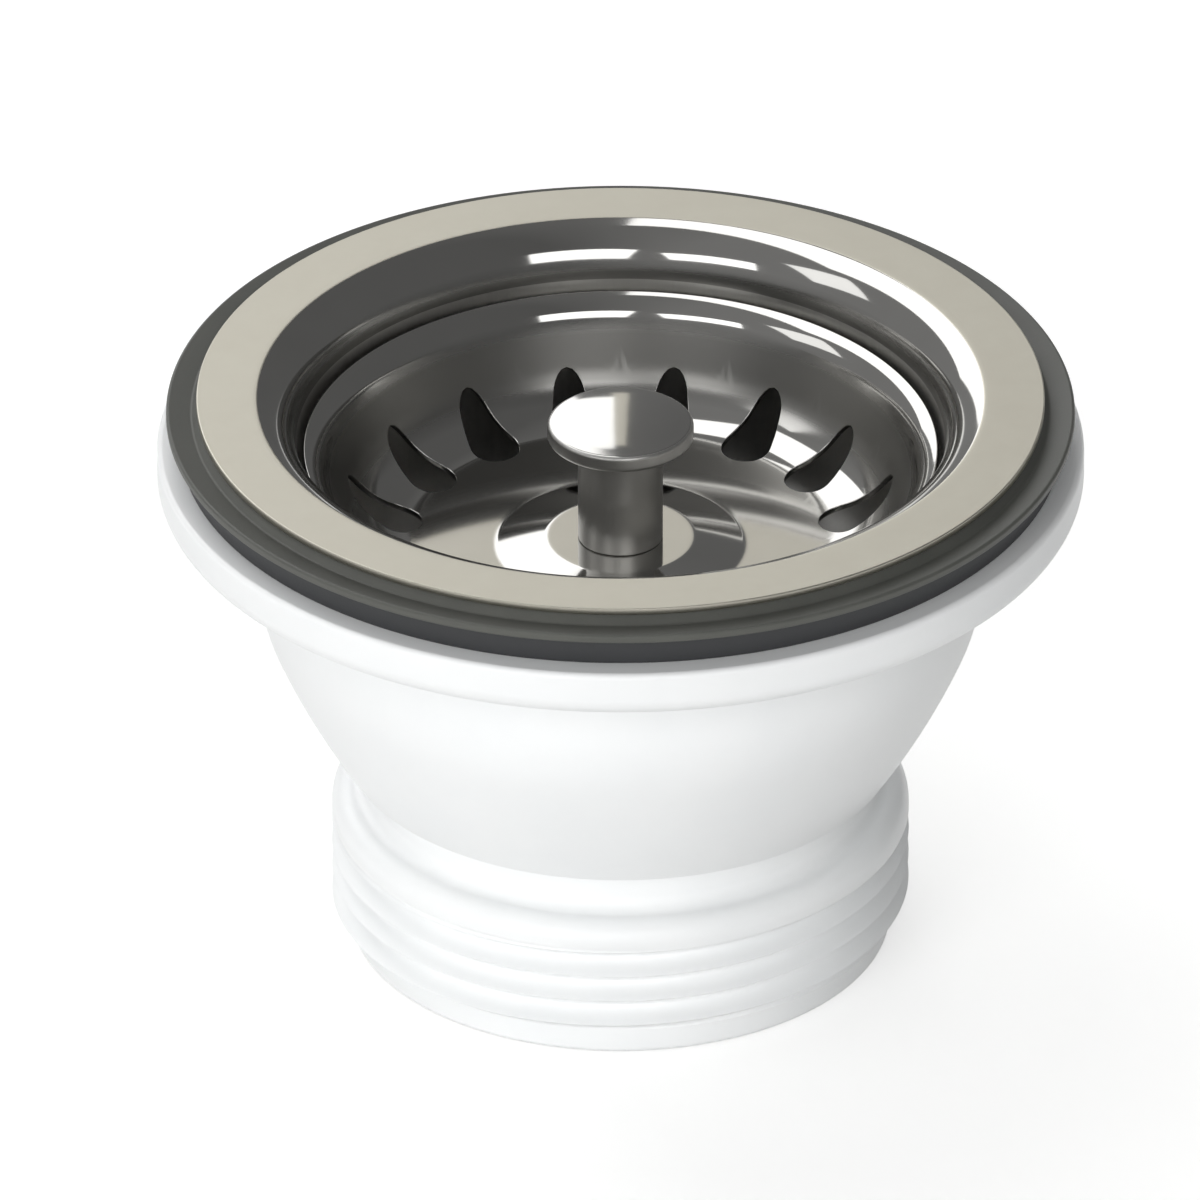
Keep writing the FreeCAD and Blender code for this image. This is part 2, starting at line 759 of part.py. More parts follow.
pieces = [
    make_moulded_body(),
    make_insert_nut(),
    make_ring("lower_gasket", rim_top, gasket_bore, flange_radius + s.lower_gasket_reach,
              s.lower_gasket_thickness, s.gasket_round),
    make_upper_gasket(),
    make_flange_bowl(),
    make_centre_screw(),
    make_basket(),
    make_knob(),
    make_ring("backing_washer", backing_washer_z, spigot_hole, s.backing_washer_radius,
              s.backing_washer_thickness),
    make_stopper_seal(),
    make_ring("clamp_washer", clamp_washer_z, spigot_hole, s.clamp_washer_radius, s.clamp_washer_thickness),
    make_lock_nut(),
    make_catch_ring(),
]
doc.recompute()

for item in doc.Objects:
    if "Invalid" in item.State or "Error" in item.State:
        raise RuntimeError(f"{item.Label} failed: {item.State}")
for piece in pieces:
    if piece.Shape.isNull() or not piece.Shape.isValid() or len(piece.Shape.Solids) != 1:
        raise RuntimeError(f"{piece.Label} is not one sound solid")

os.makedirs("parts", exist_ok=True)
for piece in pieces:
    piece.Shape.exportStep(f"parts/{piece.Label}.step")
    box = piece.Shape.BoundBox
    print(f"{piece.Label}: {piece.Shape.Volume:.1f} mm3, z {box.ZMin:.2f} to {box.ZMax:.2f}, wide {box.XLength:.2f}")
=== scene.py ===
# %% [markdown]
# # A basket strainer waste
# This is the waste of a kitchen sink. A pressed steel flange and bowl stand in the sink's bottom, two
# rubber gaskets clamp the sink's sheet, and a white plastic cup with a threaded outlet hangs below it.
# A slotted steel basket with a knob lifts out of the bowl and carries the rubber stopper under its floor.
# The construction loads as a fixed frame, in metres, with +Z up the axis of the waste, and nothing here
# moves it. Pieces whose look lies in fine form, such as the thread, the punched slots and the soft edges,
# are made again at the same sizes. The other pieces keep their solids and only get a finish.

# %% Load the frame
import json
import math

import bmesh
import bpy
import numpy as np
from mathutils import Matrix, Vector


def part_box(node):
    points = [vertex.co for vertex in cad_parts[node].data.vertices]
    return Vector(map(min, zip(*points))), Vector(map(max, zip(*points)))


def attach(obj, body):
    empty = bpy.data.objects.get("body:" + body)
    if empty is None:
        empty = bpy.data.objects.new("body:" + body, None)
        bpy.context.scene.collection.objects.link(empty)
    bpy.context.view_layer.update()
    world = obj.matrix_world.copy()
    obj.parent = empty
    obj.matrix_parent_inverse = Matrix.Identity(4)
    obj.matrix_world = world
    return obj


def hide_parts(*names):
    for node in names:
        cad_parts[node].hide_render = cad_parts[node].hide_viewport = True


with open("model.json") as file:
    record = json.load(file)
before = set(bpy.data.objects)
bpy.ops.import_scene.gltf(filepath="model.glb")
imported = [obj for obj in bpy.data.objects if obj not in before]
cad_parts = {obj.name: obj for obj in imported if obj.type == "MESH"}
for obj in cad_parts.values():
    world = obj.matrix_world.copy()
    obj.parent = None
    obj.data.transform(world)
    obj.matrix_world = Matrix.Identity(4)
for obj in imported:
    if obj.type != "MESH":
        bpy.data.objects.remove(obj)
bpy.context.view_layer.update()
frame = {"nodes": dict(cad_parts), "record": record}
record = frame["record"]
body_of = {node: body for body, nodes in record["behaviour"]["bodies"].items() for node in nodes}

# %% [markdown]
# ## Millimetres
# A plumber's sizes are millimetres, and Blender's frame is metres. Outlines below are written in
# millimetres and turned to metres only where a vertex is made. The large sizes come from the frame,
# so a piece still fits if the construction changes.

# %% Sizes from the frame
MM = 0.001


def measured(node):
    """Outer radius, lowest and highest point of a turned node, in millimetres."""
    low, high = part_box(node)
    return high.x / MM, low.z / MM, high.z / MM


flange_radius, bowl_low, flange_top = measured("flange_bowl")
print(f"the flange is {2 * flange_radius:.1f} mm across and its top is at {flange_top:.2f} mm")

# %% [markdown]
# ## Camera
# The photograph looks down on the waste at about 30 degrees, from so far off that its circles are clean
# ellipses and the back is no smaller than the front. An orthographic camera could draw that. A very long
# lens, far back, gives the same flat view and can still step back for a view that needs more room.

# %% Camera
LOOK_DOWN = math.radians(30)
LENS = 1600
FRAME_WIDTH = 99.2
AIM = Vector((-1.69, 0, 30.3)) * MM
FAR_TIMES = 3  # the view ends at this many camera distances

camera_data = bpy.data.cameras.new("camera")
camera_data.lens = LENS
distance = FRAME_WIDTH * MM * LENS / camera_data.sensor_width
camera_data.clip_end = FAR_TIMES * distance
camera = bpy.data.objects.new("camera", camera_data)
bpy.context.collection.objects.link(camera)
towards_camera = Vector((0, -math.cos(LOOK_DOWN), math.sin(LOOK_DOWN)))
camera.location = AIM + towards_camera * distance
camera.rotation_euler = towards_camera.to_track_quat("Z", "Y").to_euler()
bpy.context.scene.camera = camera
bpy.context.scene.view_settings.view_transform = "Standard"
print(f"the camera stands {distance:.2f} m away")

# %% [markdown]
# ## Nodes and colours
# A material is a small graph. One helper adds a node, sets its options and fills its sockets, each with a
# plain value or with another node's output. Colours are picked on a screen as sRGB hex values, and the
# renderer counts in linear light, so one function converts them.

# %% Node and colour helpers


def add(tree, kind, options=None, sockets=None):
    """Add a node. A socket, by its name or number, takes a value or another node's output."""
    node = tree.nodes.new(kind)
    for name, value in (options or {}).items():
        setattr(node, name, value)
    for name, value in (sockets or {}).items():
        if isinstance(value, bpy.types.NodeSocket):
            tree.links.new(value, node.inputs[name])
        else:
            node.inputs[name].default_value = value
    return node


def linear(code):
    """Linear RGBA of an sRGB hex colour."""
    parts = [int(code[k:k + 2], 16) / 255 for k in (0, 2, 4)]
    return [p / 12.92 if p <= 0.04045 else ((p + 0.055) / 1.055) ** 2.4 for p in parts] + [1]


def empty_material(name):
    """New material with an empty node tree."""
    material = bpy.data.materials.new(name)
    material.use_nodes = True
    material.node_tree.nodes.clear()
    return material, material.node_tree


def per(size):
    """Noise scale that makes features of a size in millimetres, on coordinates in metres."""
    return 1 / (size * MM)


WAVE_LENGTH = math.pi / 10  # length of one wave of the wave texture at scale 1


def rings(spacing):
    """Wave scale that makes rings a spacing in millimetres apart."""
    return WAVE_LENGTH / (spacing * MM)


print("mid grey 808080 is", round(linear("808080")[0], 3), "in linear light")

# %% [markdown]
# ## Floor and surroundings
# The waste stands on a plain pale sweep. A floor could be lit until it burns out to white, but that would
# burn the white plastic too. Here the floor is pale paint, and where the camera or a reflection looks at
# it, it also glows towards plain white, so the shadow stays but turns soft. The room above the bright
# horizon is dim, and a little paler on the left than on the right. Polished steel has no look of its own,
# and this dim room is what the inside of the bowl shows.

# %% Floor and surroundings
FLOOR_HALF = 8.0
FLOOR_GAP = 0.05
FLOOR_GLOW = 0.55
HORIZON_LOW = 0.02
HORIZON_HIGH = 0.05
SIDE_BLEND = 0.3
ROOM_LEFT = 0.3
ROOM_RIGHT = 0.15

floor_paint, tree = empty_material("matt_pale_floor_paint")
ray = add(tree, "ShaderNodeLightPath")
seen = add(tree, "ShaderNodeMath", {"operation": "ADD"},
           {0: ray.outputs["Is Camera Ray"], 1: ray.outputs["Is Glossy Ray"]})
seen = add(tree, "ShaderNodeMath", {"operation": "ADD", "use_clamp": True},
           {0: seen.outputs[0], 1: ray.outputs["Is Transmission Ray"]})
glow = add(tree, "ShaderNodeMath", {"operation": "MULTIPLY"}, {0: seen.outputs[0], 1: FLOOR_GLOW})
paint = add(tree, "ShaderNodeBsdfDiffuse", None, {"Color": linear("D2D2D1")})
white = add(tree, "ShaderNodeEmission", None, {"Strength": glow.outputs[0]})
both = add(tree, "ShaderNodeAddShader", None, {0: paint.outputs[0], 1: white.outputs[0]})
add(tree, "ShaderNodeOutputMaterial", None, {"Surface": both.outputs[0]})

floor_mesh = bpy.data.meshes.new("floor")
square = ((-1, -1), (1, -1), (1, 1), (-1, 1))
corners = [(x * FLOOR_HALF, y * FLOOR_HALF, -FLOOR_GAP * MM) for x, y in square]
floor_mesh.from_pydata(corners, [], [(0, 1, 2, 3)])
floor_mesh.materials.append(floor_paint)
floor = bpy.data.objects.new("floor", floor_mesh)
bpy.context.collection.objects.link(floor)

world = bpy.data.worlds.new("studio")
world.use_nodes = True
bpy.context.scene.world = world
tree = world.node_tree
tree.nodes.clear()
direction = add(tree, "ShaderNodeTexCoord")
parts = add(tree, "ShaderNodeSeparateXYZ", None, {0: direction.outputs["Generated"]})
side = add(tree, "ShaderNodeMapRange", None,
           {"Value": parts.outputs["X"], "From Min": -SIDE_BLEND, "From Max": SIDE_BLEND,
            "To Min": ROOM_LEFT, "To Max": ROOM_RIGHT})
level = add(tree, "ShaderNodeMapRange", None,
            {"Value": parts.outputs["Z"], "From Min": HORIZON_LOW, "From Max": HORIZON_HIGH,
             "To Min": 1.0, "To Max": side.outputs[0]})
room = add(tree, "ShaderNodeBackground", None, {"Color": (1, 1, 1, 1), "Strength": level.outputs[0]})
add(tree, "ShaderNodeOutputWorld", None, {"Surface": room.outputs[0]})
print("floor and room made")

# %% [markdown]
# ## Studio lights
# The steel tells where the lamps stood. Two short bright bars on the back of the bowl's mouth are two
# softboxes in front. A big white panel behind the waste has its right edge at the middle plane, so the
# knob's left half is white, its right half is dark, and the right of the mouth has a white band. The panel
# is three sheets with a gap between them, and the gap keeps the basket's corner from going white as well.
# A narrow, slightly warm strip is what the flat flange mirrors. The last two lamps light only the plastic
# and the rubber, and no steel mirrors them. Each lamp is one entry: its bearing and height in degrees, its
# size in metres and its brightness, where 1 is white. A lamp may also stand aside or be raised, in metres.

# %% Studio lights
LAMP_DISTANCE = 4.2
PANEL = {"bearing": 90, "height": 51, "level": 1.95}
LAMPS = {
    "front_right_box": {"bearing": -76, "height": 33, "wide": 2.3, "tall": 1.5, "level": 2.4},
    "front_left_box": {"bearing": -122, "height": 31, "wide": 2.1, "tall": 1.0, "level": 2.4},
    "low_panel": {**PANEL, "wide": 3.6, "tall": 2.36, "aside": 1.87, "raise": -1.55},
    "far_panel": {**PANEL, "wide": 2.5, "tall": 1.04, "aside": 2.42, "raise": 0.15},
    "top_panel": {**PANEL, "wide": 3.6, "tall": 2.06, "aside": 1.87, "raise": 1.7},
    "left_box": {"bearing": 188, "height": 38, "wide": 1.6, "tall": 1.4, "level": 1.4},
    "back_strip": {"bearing": 90, "height": 30, "wide": 0.14, "tall": 2.2, "level": 0.68,
                   "colour": "FFFAE9"},
    "front_fill": {"bearing": -108, "height": 13, "wide": 3.6, "tall": 1.8, "level": 5.0,
                   "in_steel": False},
    "back_fill": {"bearing": 90, "height": 14, "wide": 3.0, "tall": 1.8, "level": 2.8,
                  "in_steel": False},
}

for name, lamp in LAMPS.items():
    light = bpy.data.lights.new(name, "AREA")
    light.shape = "RECTANGLE"
    light.size = lamp["wide"]
    light.size_y = lamp["tall"]
    light.energy = math.pi * lamp["wide"] * lamp["tall"] * lamp["level"]
    light.color = linear(lamp.get("colour", "FFFFFF"))[:3]
    holder = bpy.data.objects.new(name, light)
    bpy.context.collection.objects.link(holder)
    bearing = math.radians(lamp["bearing"])
    height = math.radians(lamp["height"])
    out = Vector((math.cos(bearing) * math.cos(height),
                  math.sin(bearing) * math.cos(height),
                  math.sin(height)))
    facing = out.to_track_quat("Z", "Y")
    holder.rotation_euler = facing.to_euler()
    offset = Vector((lamp.get("aside", 0), lamp.get("raise", 0), 0))
    holder.location = out * LAMP_DISTANCE + facing @ offset
    holder.visible_camera = False
    holder.visible_glossy = lamp.get("in_steel", True)
    print(f"{name}: {light.energy:.2f} W")

# %% [markdown]
# ## White polypropylene
# The cup is moulded in white polypropylene. A mould gives it a soft sheen, a very fine grain and faint
# cloudy flow marks. Subsurface light would soften it further, but the wall is thick and the white dense,
# so a plain dielectric with a broad highlight is enough.

# %% Moulded white polypropylene
GRAIN = 0.35  # the mould's real grain is near 0.05 mm, drawn coarser so that it shows
FLOW_MARK = 9.0

polypropylene, tree = empty_material("moulded_white_polypropylene")
place = add(tree, "ShaderNodeTexCoord").outputs["Object"]
flow = add(tree, "ShaderNodeTexNoise", None, {"Vector": place, "Scale": per(FLOW_MARK), "Detail": 3})
grain = add(tree, "ShaderNodeTexNoise", None, {"Vector": place, "Scale": per(GRAIN), "Detail": 2})
tint = add(tree, "ShaderNodeMix", {"data_type": "RGBA"},
           {0: flow.outputs["Fac"], 6: linear("EDEFF0"), 7: linear("F5F6F6")})
sheen = add(tree, "ShaderNodeMapRange", None,
            {"Value": flow.outputs["Fac"], "To Min": 0.3, "To Max": 0.44})
skin = add(tree, "ShaderNodeBump", None,
           {"Height": grain.outputs["Fac"], "Strength": 0.5, "Distance": 0.006 * MM})
shader = add(tree, "ShaderNodeBsdfPrincipled", None,
             {"Base Color": tint.outputs[2], "Roughness": sheen.outputs[0], "IOR": 1.49,
              "Normal": skin.outputs[0]})
add(tree, "ShaderNodeOutputMaterial", None, {"Surface": shader.outputs[0]})
print("made", polypropylene.name)

# %% [markdown]
# ## Satin stainless steel
# The flange is stainless sheet, pressed and then rubbed to a satin. The rubbing leaves very fine
# concentric lines that blur what the steel mirrors into an even, slightly warm silver. Rings of a wave
# texture about Z give the lines, and a little noise keeps them from looking machine ruled.

# %% Rubbed satin stainless steel
SATIN_LINE = 0.35  # the real lines are near 0.03 mm apart, drawn coarser so that they show
SATIN_CLOUD = 3.0

satin_steel, tree = empty_material("rubbed_satin_stainless_steel")
place = add(tree, "ShaderNodeTexCoord").outputs["Object"]
lines = add(tree, "ShaderNodeTexWave", {"wave_type": "RINGS", "rings_direction": "Z"},
            {"Vector": place, "Scale": rings(SATIN_LINE), "Distortion": 0.4, "Detail": 0})
cloud = add(tree, "ShaderNodeTexNoise", None, {"Vector": place, "Scale": per(SATIN_CLOUD), "Detail": 4})
tone = add(tree, "ShaderNodeMix", {"data_type": "RGBA"},
           {0: cloud.outputs["Fac"], 6: linear("BCB8AC"), 7: linear("C5C2B6")})
gloss = add(tree, "ShaderNodeMapRange", None,
            {"Value": cloud.outputs["Fac"], "To Min": 0.34, "To Max": 0.38})
rubbed = add(tree, "ShaderNodeBump", None,
             {"Height": lines.outputs["Fac"], "Strength": 0.4, "Distance": 0.0006 * MM})
shader = add(tree, "ShaderNodeBsdfPrincipled", None,
             {"Base Color": tone.outputs[2], "Metallic": 1.0, "Roughness": gloss.outputs[0],
              "Normal": rubbed.outputs[0]})
add(tree, "ShaderNodeOutputMaterial", None, {"Surface": shader.outputs[0]})
print("made", satin_steel.name)

# %% [markdown]
# ## Mirror polished stainless steel
# The top of the knob is what a hand sees first, so it is polished until it mirrors the room almost cleanly.
# A polish done by hand is never quite even: a faint orange peel, about a millimetre across, bends the
# reflections a little, and the gloss varies in soft clouds.

# %% Mirror polished stainless steel
PEEL = 1.4
POLISH_CLOUD = 5.0
POLISHED_DARK = "B5B4B1"
POLISHED_PALE = "BEBDBA"

polished_steel, tree = empty_material("mirror_polished_stainless_steel")
place = add(tree, "ShaderNodeTexCoord").outputs["Object"]
peel = add(tree, "ShaderNodeTexNoise", None, {"Vector": place, "Scale": per(PEEL), "Detail": 1})
cloud = add(tree, "ShaderNodeTexNoise", None, {"Vector": place, "Scale": per(POLISH_CLOUD), "Detail": 4})
tone = add(tree, "ShaderNodeMix", {"data_type": "RGBA"},
           {0: cloud.outputs["Fac"], 6: linear(POLISHED_DARK), 7: linear(POLISHED_PALE)})
gloss = add(tree, "ShaderNodeMapRange", None,
            {"Value": cloud.outputs["Fac"], "To Min": 0.06, "To Max": 0.1})
uneven = add(tree, "ShaderNodeBump", None,
             {"Height": peel.outputs["Fac"], "Strength": 0.4, "Distance": 0.004 * MM})
shader = add(tree, "ShaderNodeBsdfPrincipled", None,
             {"Base Color": tone.outputs[2], "Metallic": 1.0, "Roughness": gloss.outputs[0],
              "Normal": uneven.outputs[0]})
add(tree, "ShaderNodeOutputMaterial", None, {"Surface": shader.outputs[0]})
print("made", polished_steel.name)

# %% [markdown]
# ## Drawn stainless steel
# Below the mouth the bowl was drawn deep and never polished. The die drags fine upright lines down its wall,
# and they blur what it mirrors to an even dark grey. A noise that is squeezed across and stretched upwards
# gives such lines without any texture coordinates of its own.

# %% Drawn stainless steel
DRAW_LINE = 0.4  # the real lines are near 0.1 mm wide, drawn coarser so that they show
DRAW_LENGTH = 12.0

drawn_steel, tree = empty_material("drawn_stainless_steel")
place = add(tree, "ShaderNodeTexCoord").outputs["Object"]
stretched = add(tree, "ShaderNodeMapping", {"vector_type": "POINT"},
                {"Vector": place, "Scale": (1, 1, DRAW_LINE / DRAW_LENGTH)})
drag = add(tree, "ShaderNodeTexNoise", None,
           {"Vector": stretched.outputs[0], "Scale": per(DRAW_LINE), "Detail": 2})
tone = add(tree, "ShaderNodeMix", {"data_type": "RGBA"},
           {0: drag.outputs["Fac"], 6: linear("C6C5C2"), 7: linear("D0CFCC")})
gloss = add(tree, "ShaderNodeMapRange", None,
            {"Value": drag.outputs["Fac"], "To Min": 0.3, "To Max": 0.4})
dragged = add(tree, "ShaderNodeBump", None,
              {"Height": drag.outputs["Fac"], "Strength": 0.2, "Distance": 0.002 * MM})
shader = add(tree, "ShaderNodeBsdfPrincipled", None,
             {"Base Color": tone.outputs[2], "Metallic": 1.0, "Roughness": gloss.outputs[0],
              "Normal": dragged.outputs[0]})
add(tree, "ShaderNodeOutputMaterial", None, {"Surface": shader.outputs[0]})
print("made", drawn_steel.name)

# %% [markdown]
# ## Part polished steel
# A buffing wheel reaches the bowl's mouth and the basket's rim, floor and corner. It hardly reaches the steep
# walls, so there the reflections stay blurred. The walls also get a darker grey, which is painted shade for
# the dim inside of the bowl and the basket. One ramp up the height of a wall and one down again mix the two
# roughnesses and the two tones, and no line shows where the polish ends. A loop makes this steel once for
# each piece, between the two heights where the wheel doesn't reach.

# %% Part polished stainless steel
BUFFED = 0.07
UNBUFFED = 0.34
RAMP = 1.4
unbuffed_walls_with_painted_shade = {
    "basket": (flange_top - 11.0, flange_top - 7.6),
    "bowl": (bowl_low, flange_top - 3.6),
}
part_polished_with_painted_shade = {}

for piece, (wall_low, wall_high) in unbuffed_walls_with_painted_shade.items():
    steel, tree = empty_material("part_polished_stainless_steel_of_" + piece)
    place = add(tree, "ShaderNodeTexCoord").outputs["Object"]
    cloud = add(tree, "ShaderNodeTexNoise", None, {"Vector": place, "Scale": per(POLISH_CLOUD), "Detail": 4})
    bright = add(tree, "ShaderNodeMix", {"data_type": "RGBA"},
                 {0: cloud.outputs["Fac"], 6: linear(POLISHED_DARK), 7: linear(POLISHED_PALE)})
    parts = add(tree, "ShaderNodeSeparateXYZ", None, {0: place})
    rising = add(tree, "ShaderNodeMapRange", None,
                 {"Value": parts.outputs["Z"],
                  "From Min": (wall_low - RAMP) * MM, "From Max": wall_low * MM})
    falling = add(tree, "ShaderNodeMapRange", None,
                  {"Value": parts.outputs["Z"],
                   "From Min": wall_high * MM, "From Max": (wall_high + RAMP) * MM,
                   "To Min": 1, "To Max": 0})
    wall = add(tree, "ShaderNodeMath", {"operation": "MULTIPLY"},
               {0: rising.outputs[0], 1: falling.outputs[0]})
    gloss = add(tree, "ShaderNodeMapRange", None,
                {"Value": wall.outputs[0], "To Min": BUFFED, "To Max": UNBUFFED})
    # The darker tone 93928F of the walls is painted shade, not a colour of the steel.
    tone = add(tree, "ShaderNodeMix", {"data_type": "RGBA"},
               {0: wall.outputs[0], 6: bright.outputs[2], 7: linear("93928F")})
    shader = add(tree, "ShaderNodeBsdfPrincipled", None,
                 {"Base Color": tone.outputs[2], "Metallic": 1.0, "Roughness": gloss.outputs[0]})
    add(tree, "ShaderNodeOutputMaterial", None, {"Surface": shader.outputs[0]})
    part_polished_with_painted_shade[piece] = steel
    print("made", steel.name)

# %% [markdown]
# ## Turned stainless steel
# The knob is turned from bar on a lathe, and its side and stem keep the lathe's finish. The tool leaves fine
# rings, which blur what the steel mirrors. Rings of a wave texture about Z draw them.

# %% Turned stainless steel
TOOL_MARK = 0.3  # the real feed is near 0.08 mm a turn, drawn coarser so that it shows

turned_steel, tree = empty_material("turned_stainless_steel")
place = add(tree, "ShaderNodeTexCoord").outputs["Object"]
marks = add(tree, "ShaderNodeTexWave", {"wave_type": "RINGS", "rings_direction": "Z"},
            {"Vector": place, "Scale": rings(TOOL_MARK), "Distortion": 0.5, "Detail": 1})
gloss = add(tree, "ShaderNodeMapRange", None,
            {"Value": marks.outputs["Fac"], "To Min": 0.36, "To Max": 0.44})
cut = add(tree, "ShaderNodeBump", None,
          {"Height": marks.outputs["Fac"], "Strength": 0.3, "Distance": 0.0006 * MM})
shader = add(tree, "ShaderNodeBsdfPrincipled", None,
             {"Base Color": linear("BDBCB9"), "Metallic": 1.0, "Roughness": gloss.outputs[0],
              "Normal": cut.outputs[0]})
add(tree, "ShaderNodeOutputMaterial", None, {"Surface": shader.outputs[0]})
print("made", turned_steel.name)

# %% [markdown]
# ## Tumbled stainless steel
# The washers, the nut and the hollow screw are plain fasteners. They are tumbled to take the burrs off,
# which leaves a grey, slightly dimpled, even sheen.

# %% Tumbled stainless steel fasteners
DIMPLE = 0.5

tumbled_steel, tree = empty_material("tumbled_stainless_steel")
place = add(tree, "ShaderNodeTexCoord").outputs["Object"]
dimple = add(tree, "ShaderNodeTexNoise", None, {"Vector": place, "Scale": per(DIMPLE), "Detail": 3})
tone = add(tree, "ShaderNodeMix", {"data_type": "RGBA"},
           {0: dimple.outputs["Fac"], 6: linear("A9A8A3"), 7: linear("BBBAB4")})
gloss = add(tree, "ShaderNodeMapRange", None,
            {"Value": dimple.outputs["Fac"], "To Min": 0.28, "To Max": 0.42})
dented = add(tree, "ShaderNodeBump", None,
             {"Height": dimple.outputs["Fac"], "Strength": 0.5, "Distance": 0.012 * MM})
shader = add(tree, "ShaderNodeBsdfPrincipled", None,
             {"Base Color": tone.outputs[2], "Metallic": 1.0, "Roughness": gloss.outputs[0],
              "Normal": dented.outputs[0]})
add(tree, "ShaderNodeOutputMaterial", None, {"Surface": shader.outputs[0]})
print("made", tumbled_steel.name)

# %% [markdown]
# ## Brass
# The threaded insert in the hub is turned from brass rod: warm yellow, with fine tool rings.

# %% Turned brass
turned_brass, tree = empty_material("turned_brass")
place = add(tree, "ShaderNodeTexCoord").outputs["Object"]
marks = add(tree, "ShaderNodeTexWave", {"wave_type": "RINGS", "rings_direction": "Z"},
            {"Vector": place, "Scale": rings(TOOL_MARK), "Distortion": 0.5, "Detail": 1})
tone = add(tree, "ShaderNodeMix", {"data_type": "RGBA"},
           {0: marks.outputs["Fac"], 6: linear("B58F4C"), 7: linear("CDA963")})
shader = add(tree, "ShaderNodeBsdfPrincipled", None,
             {"Base Color": tone.outputs[2], "Metallic": 1.0, "Roughness": 0.28})
add(tree, "ShaderNodeOutputMaterial", None, {"Surface": shader.outputs[0]})
print("made", turned_brass.name)

# %% [markdown]
# ## Rubbers
# The gaskets and the stopper are moulded rubber. It is matt and dark, with a fine grain from the mould and
# a faint pale bloom that lies in clouds. The upper gasket is a greyer mix than the lower one, so one loop
# makes both rubbers from two pairs of colours.

# %% Moulded rubbers
RUBBER_GRAIN = 0.3  # real moulded grain is near 0.1 mm, drawn coarser so that it shows
BLOOM = 4.0
rubber_tones = {"moulded_black_rubber": ("28292B", "343537"), "moulded_grey_rubber": ("474844", "575853")}
rubbers = {}

for name, (dark, bloomed) in rubber_tones.items():
    rubber, tree = empty_material(name)
    place = add(tree, "ShaderNodeTexCoord").outputs["Object"]
    bloom = add(tree, "ShaderNodeTexNoise", None, {"Vector": place, "Scale": per(BLOOM), "Detail": 4})
    pores = add(tree, "ShaderNodeTexNoise", None, {"Vector": place, "Scale": per(RUBBER_GRAIN), "Detail": 2})
    tone = add(tree, "ShaderNodeMix", {"data_type": "RGBA"},
               {0: bloom.outputs["Fac"], 6: linear(dark), 7: linear(bloomed)})
    gloss = add(tree, "ShaderNodeMapRange", None,
                {"Value": bloom.outputs["Fac"], "To Min": 0.42, "To Max": 0.62})
    skin = add(tree, "ShaderNodeBump", None,
               {"Height": pores.outputs["Fac"], "Strength": 0.6, "Distance": 0.02 * MM})
    shader = add(tree, "ShaderNodeBsdfPrincipled", None,
                 {"Base Color": tone.outputs[2], "Roughness": gloss.outputs[0], "IOR": 1.52,
                  "Normal": skin.outputs[0]})
    add(tree, "ShaderNodeOutputMaterial", None, {"Surface": shader.outputs[0]})
    rubbers[name] = rubber
    print("made", name)

# %% [markdown]
# ## Outlines
# Nearly every piece is round, so its shape is one outline, turned. An outline is a list of points of radius
# and height. Real edges are never sharp: a corner may carry a radius, and the outline then gets an arc
# there. A second helper draws a sweep that leaves the last stretch without a kink, as the cup's side does.

# %% Outline helpers
ARC_STEP = math.radians(5)
LEAST_ARC_STEPS = 3
LEAST_BEND_STEPS = 8


def rounded(*corners, step=ARC_STEP):
    """Outline through corners of radius, height and rounding, with each rounding drawn as an arc."""
    outline = []
    for place, (r, z, rounding) in enumerate(corners):
        corner = Vector((r, z))
        if not rounding:
            outline.append(corner)
            continue
        back = (Vector(corners[place - 1][:2]) - corner).normalized()
        on = (Vector(corners[(place + 1) % len(corners)][:2]) - corner).normalized()
        half = back.angle(on) / 2
        centre = corner + (back + on).normalized() * (rounding / math.sin(half))
        spoke = corner + back * (rounding / math.tan(half)) - centre
        turn = math.copysign(math.pi - 2 * half, -back.cross(on))
        steps = max(LEAST_ARC_STEPS, round(abs(turn) / step))
        outline += [centre + Matrix.Rotation(turn * k / steps, 2) @ spoke for k in range(steps + 1)]
    return outline


def bend(start, heading, end):
    """Points of the arc that leaves start at the heading angle and reaches end, and its last heading."""
    chord = Vector(end) - Vector(start)
    half_turn = math.atan2(chord.y, chord.x) - heading
    radius = chord.length / (2 * math.sin(half_turn))
    steps = max(LEAST_BEND_STEPS, round(2 * abs(half_turn) / ARC_STEP))
    points = []
    for k in range(1, steps + 1):
        part = half_turn * k / steps
        way = Vector((math.cos(heading + part), math.sin(heading + part)))
        points.append(Vector(start) + way * (2 * radius * math.sin(part)))
    return points, heading + 2 * half_turn


print("a rounded square corner has", len(rounded((1, 0, 0), (1, 1, 0.2), (0, 1, 0))), "points")

# %% [markdown]
# ## Turning
# Blender has a Screw modifier that turns an outline, and it would do for a plain ring. Making the rows of
# faces directly lets the thread, the punched slots and the plain stretches share the same columns of
# vertices, so they weld into one closed skin.

# %% Turning and finishing helpers
COLUMNS = 256
WELD = 0.0002 * MM
CRISP = math.radians(35)
ANGLES = [2 * math.pi * k / COLUMNS for k in range(COLUMNS)]


def point(r, angle, z):
    """Position in metres of a radius, angle and height in millimetres."""
    return Vector((r * math.cos(angle), r * math.sin(angle), z)) * MM


def spin(shape, outline):
    """Add the skin that an outline sweeps round Z. Outward is to the right of the outline's run."""
    rows = [[shape.verts.new(point(r, angle, z)) for angle in ANGLES] for r, z in outline]
    for low, high in zip(rows, rows[1:]):
        for k in range(COLUMNS):
            shape.faces.new((low[k - 1], low[k], high[k], high[k - 1]))


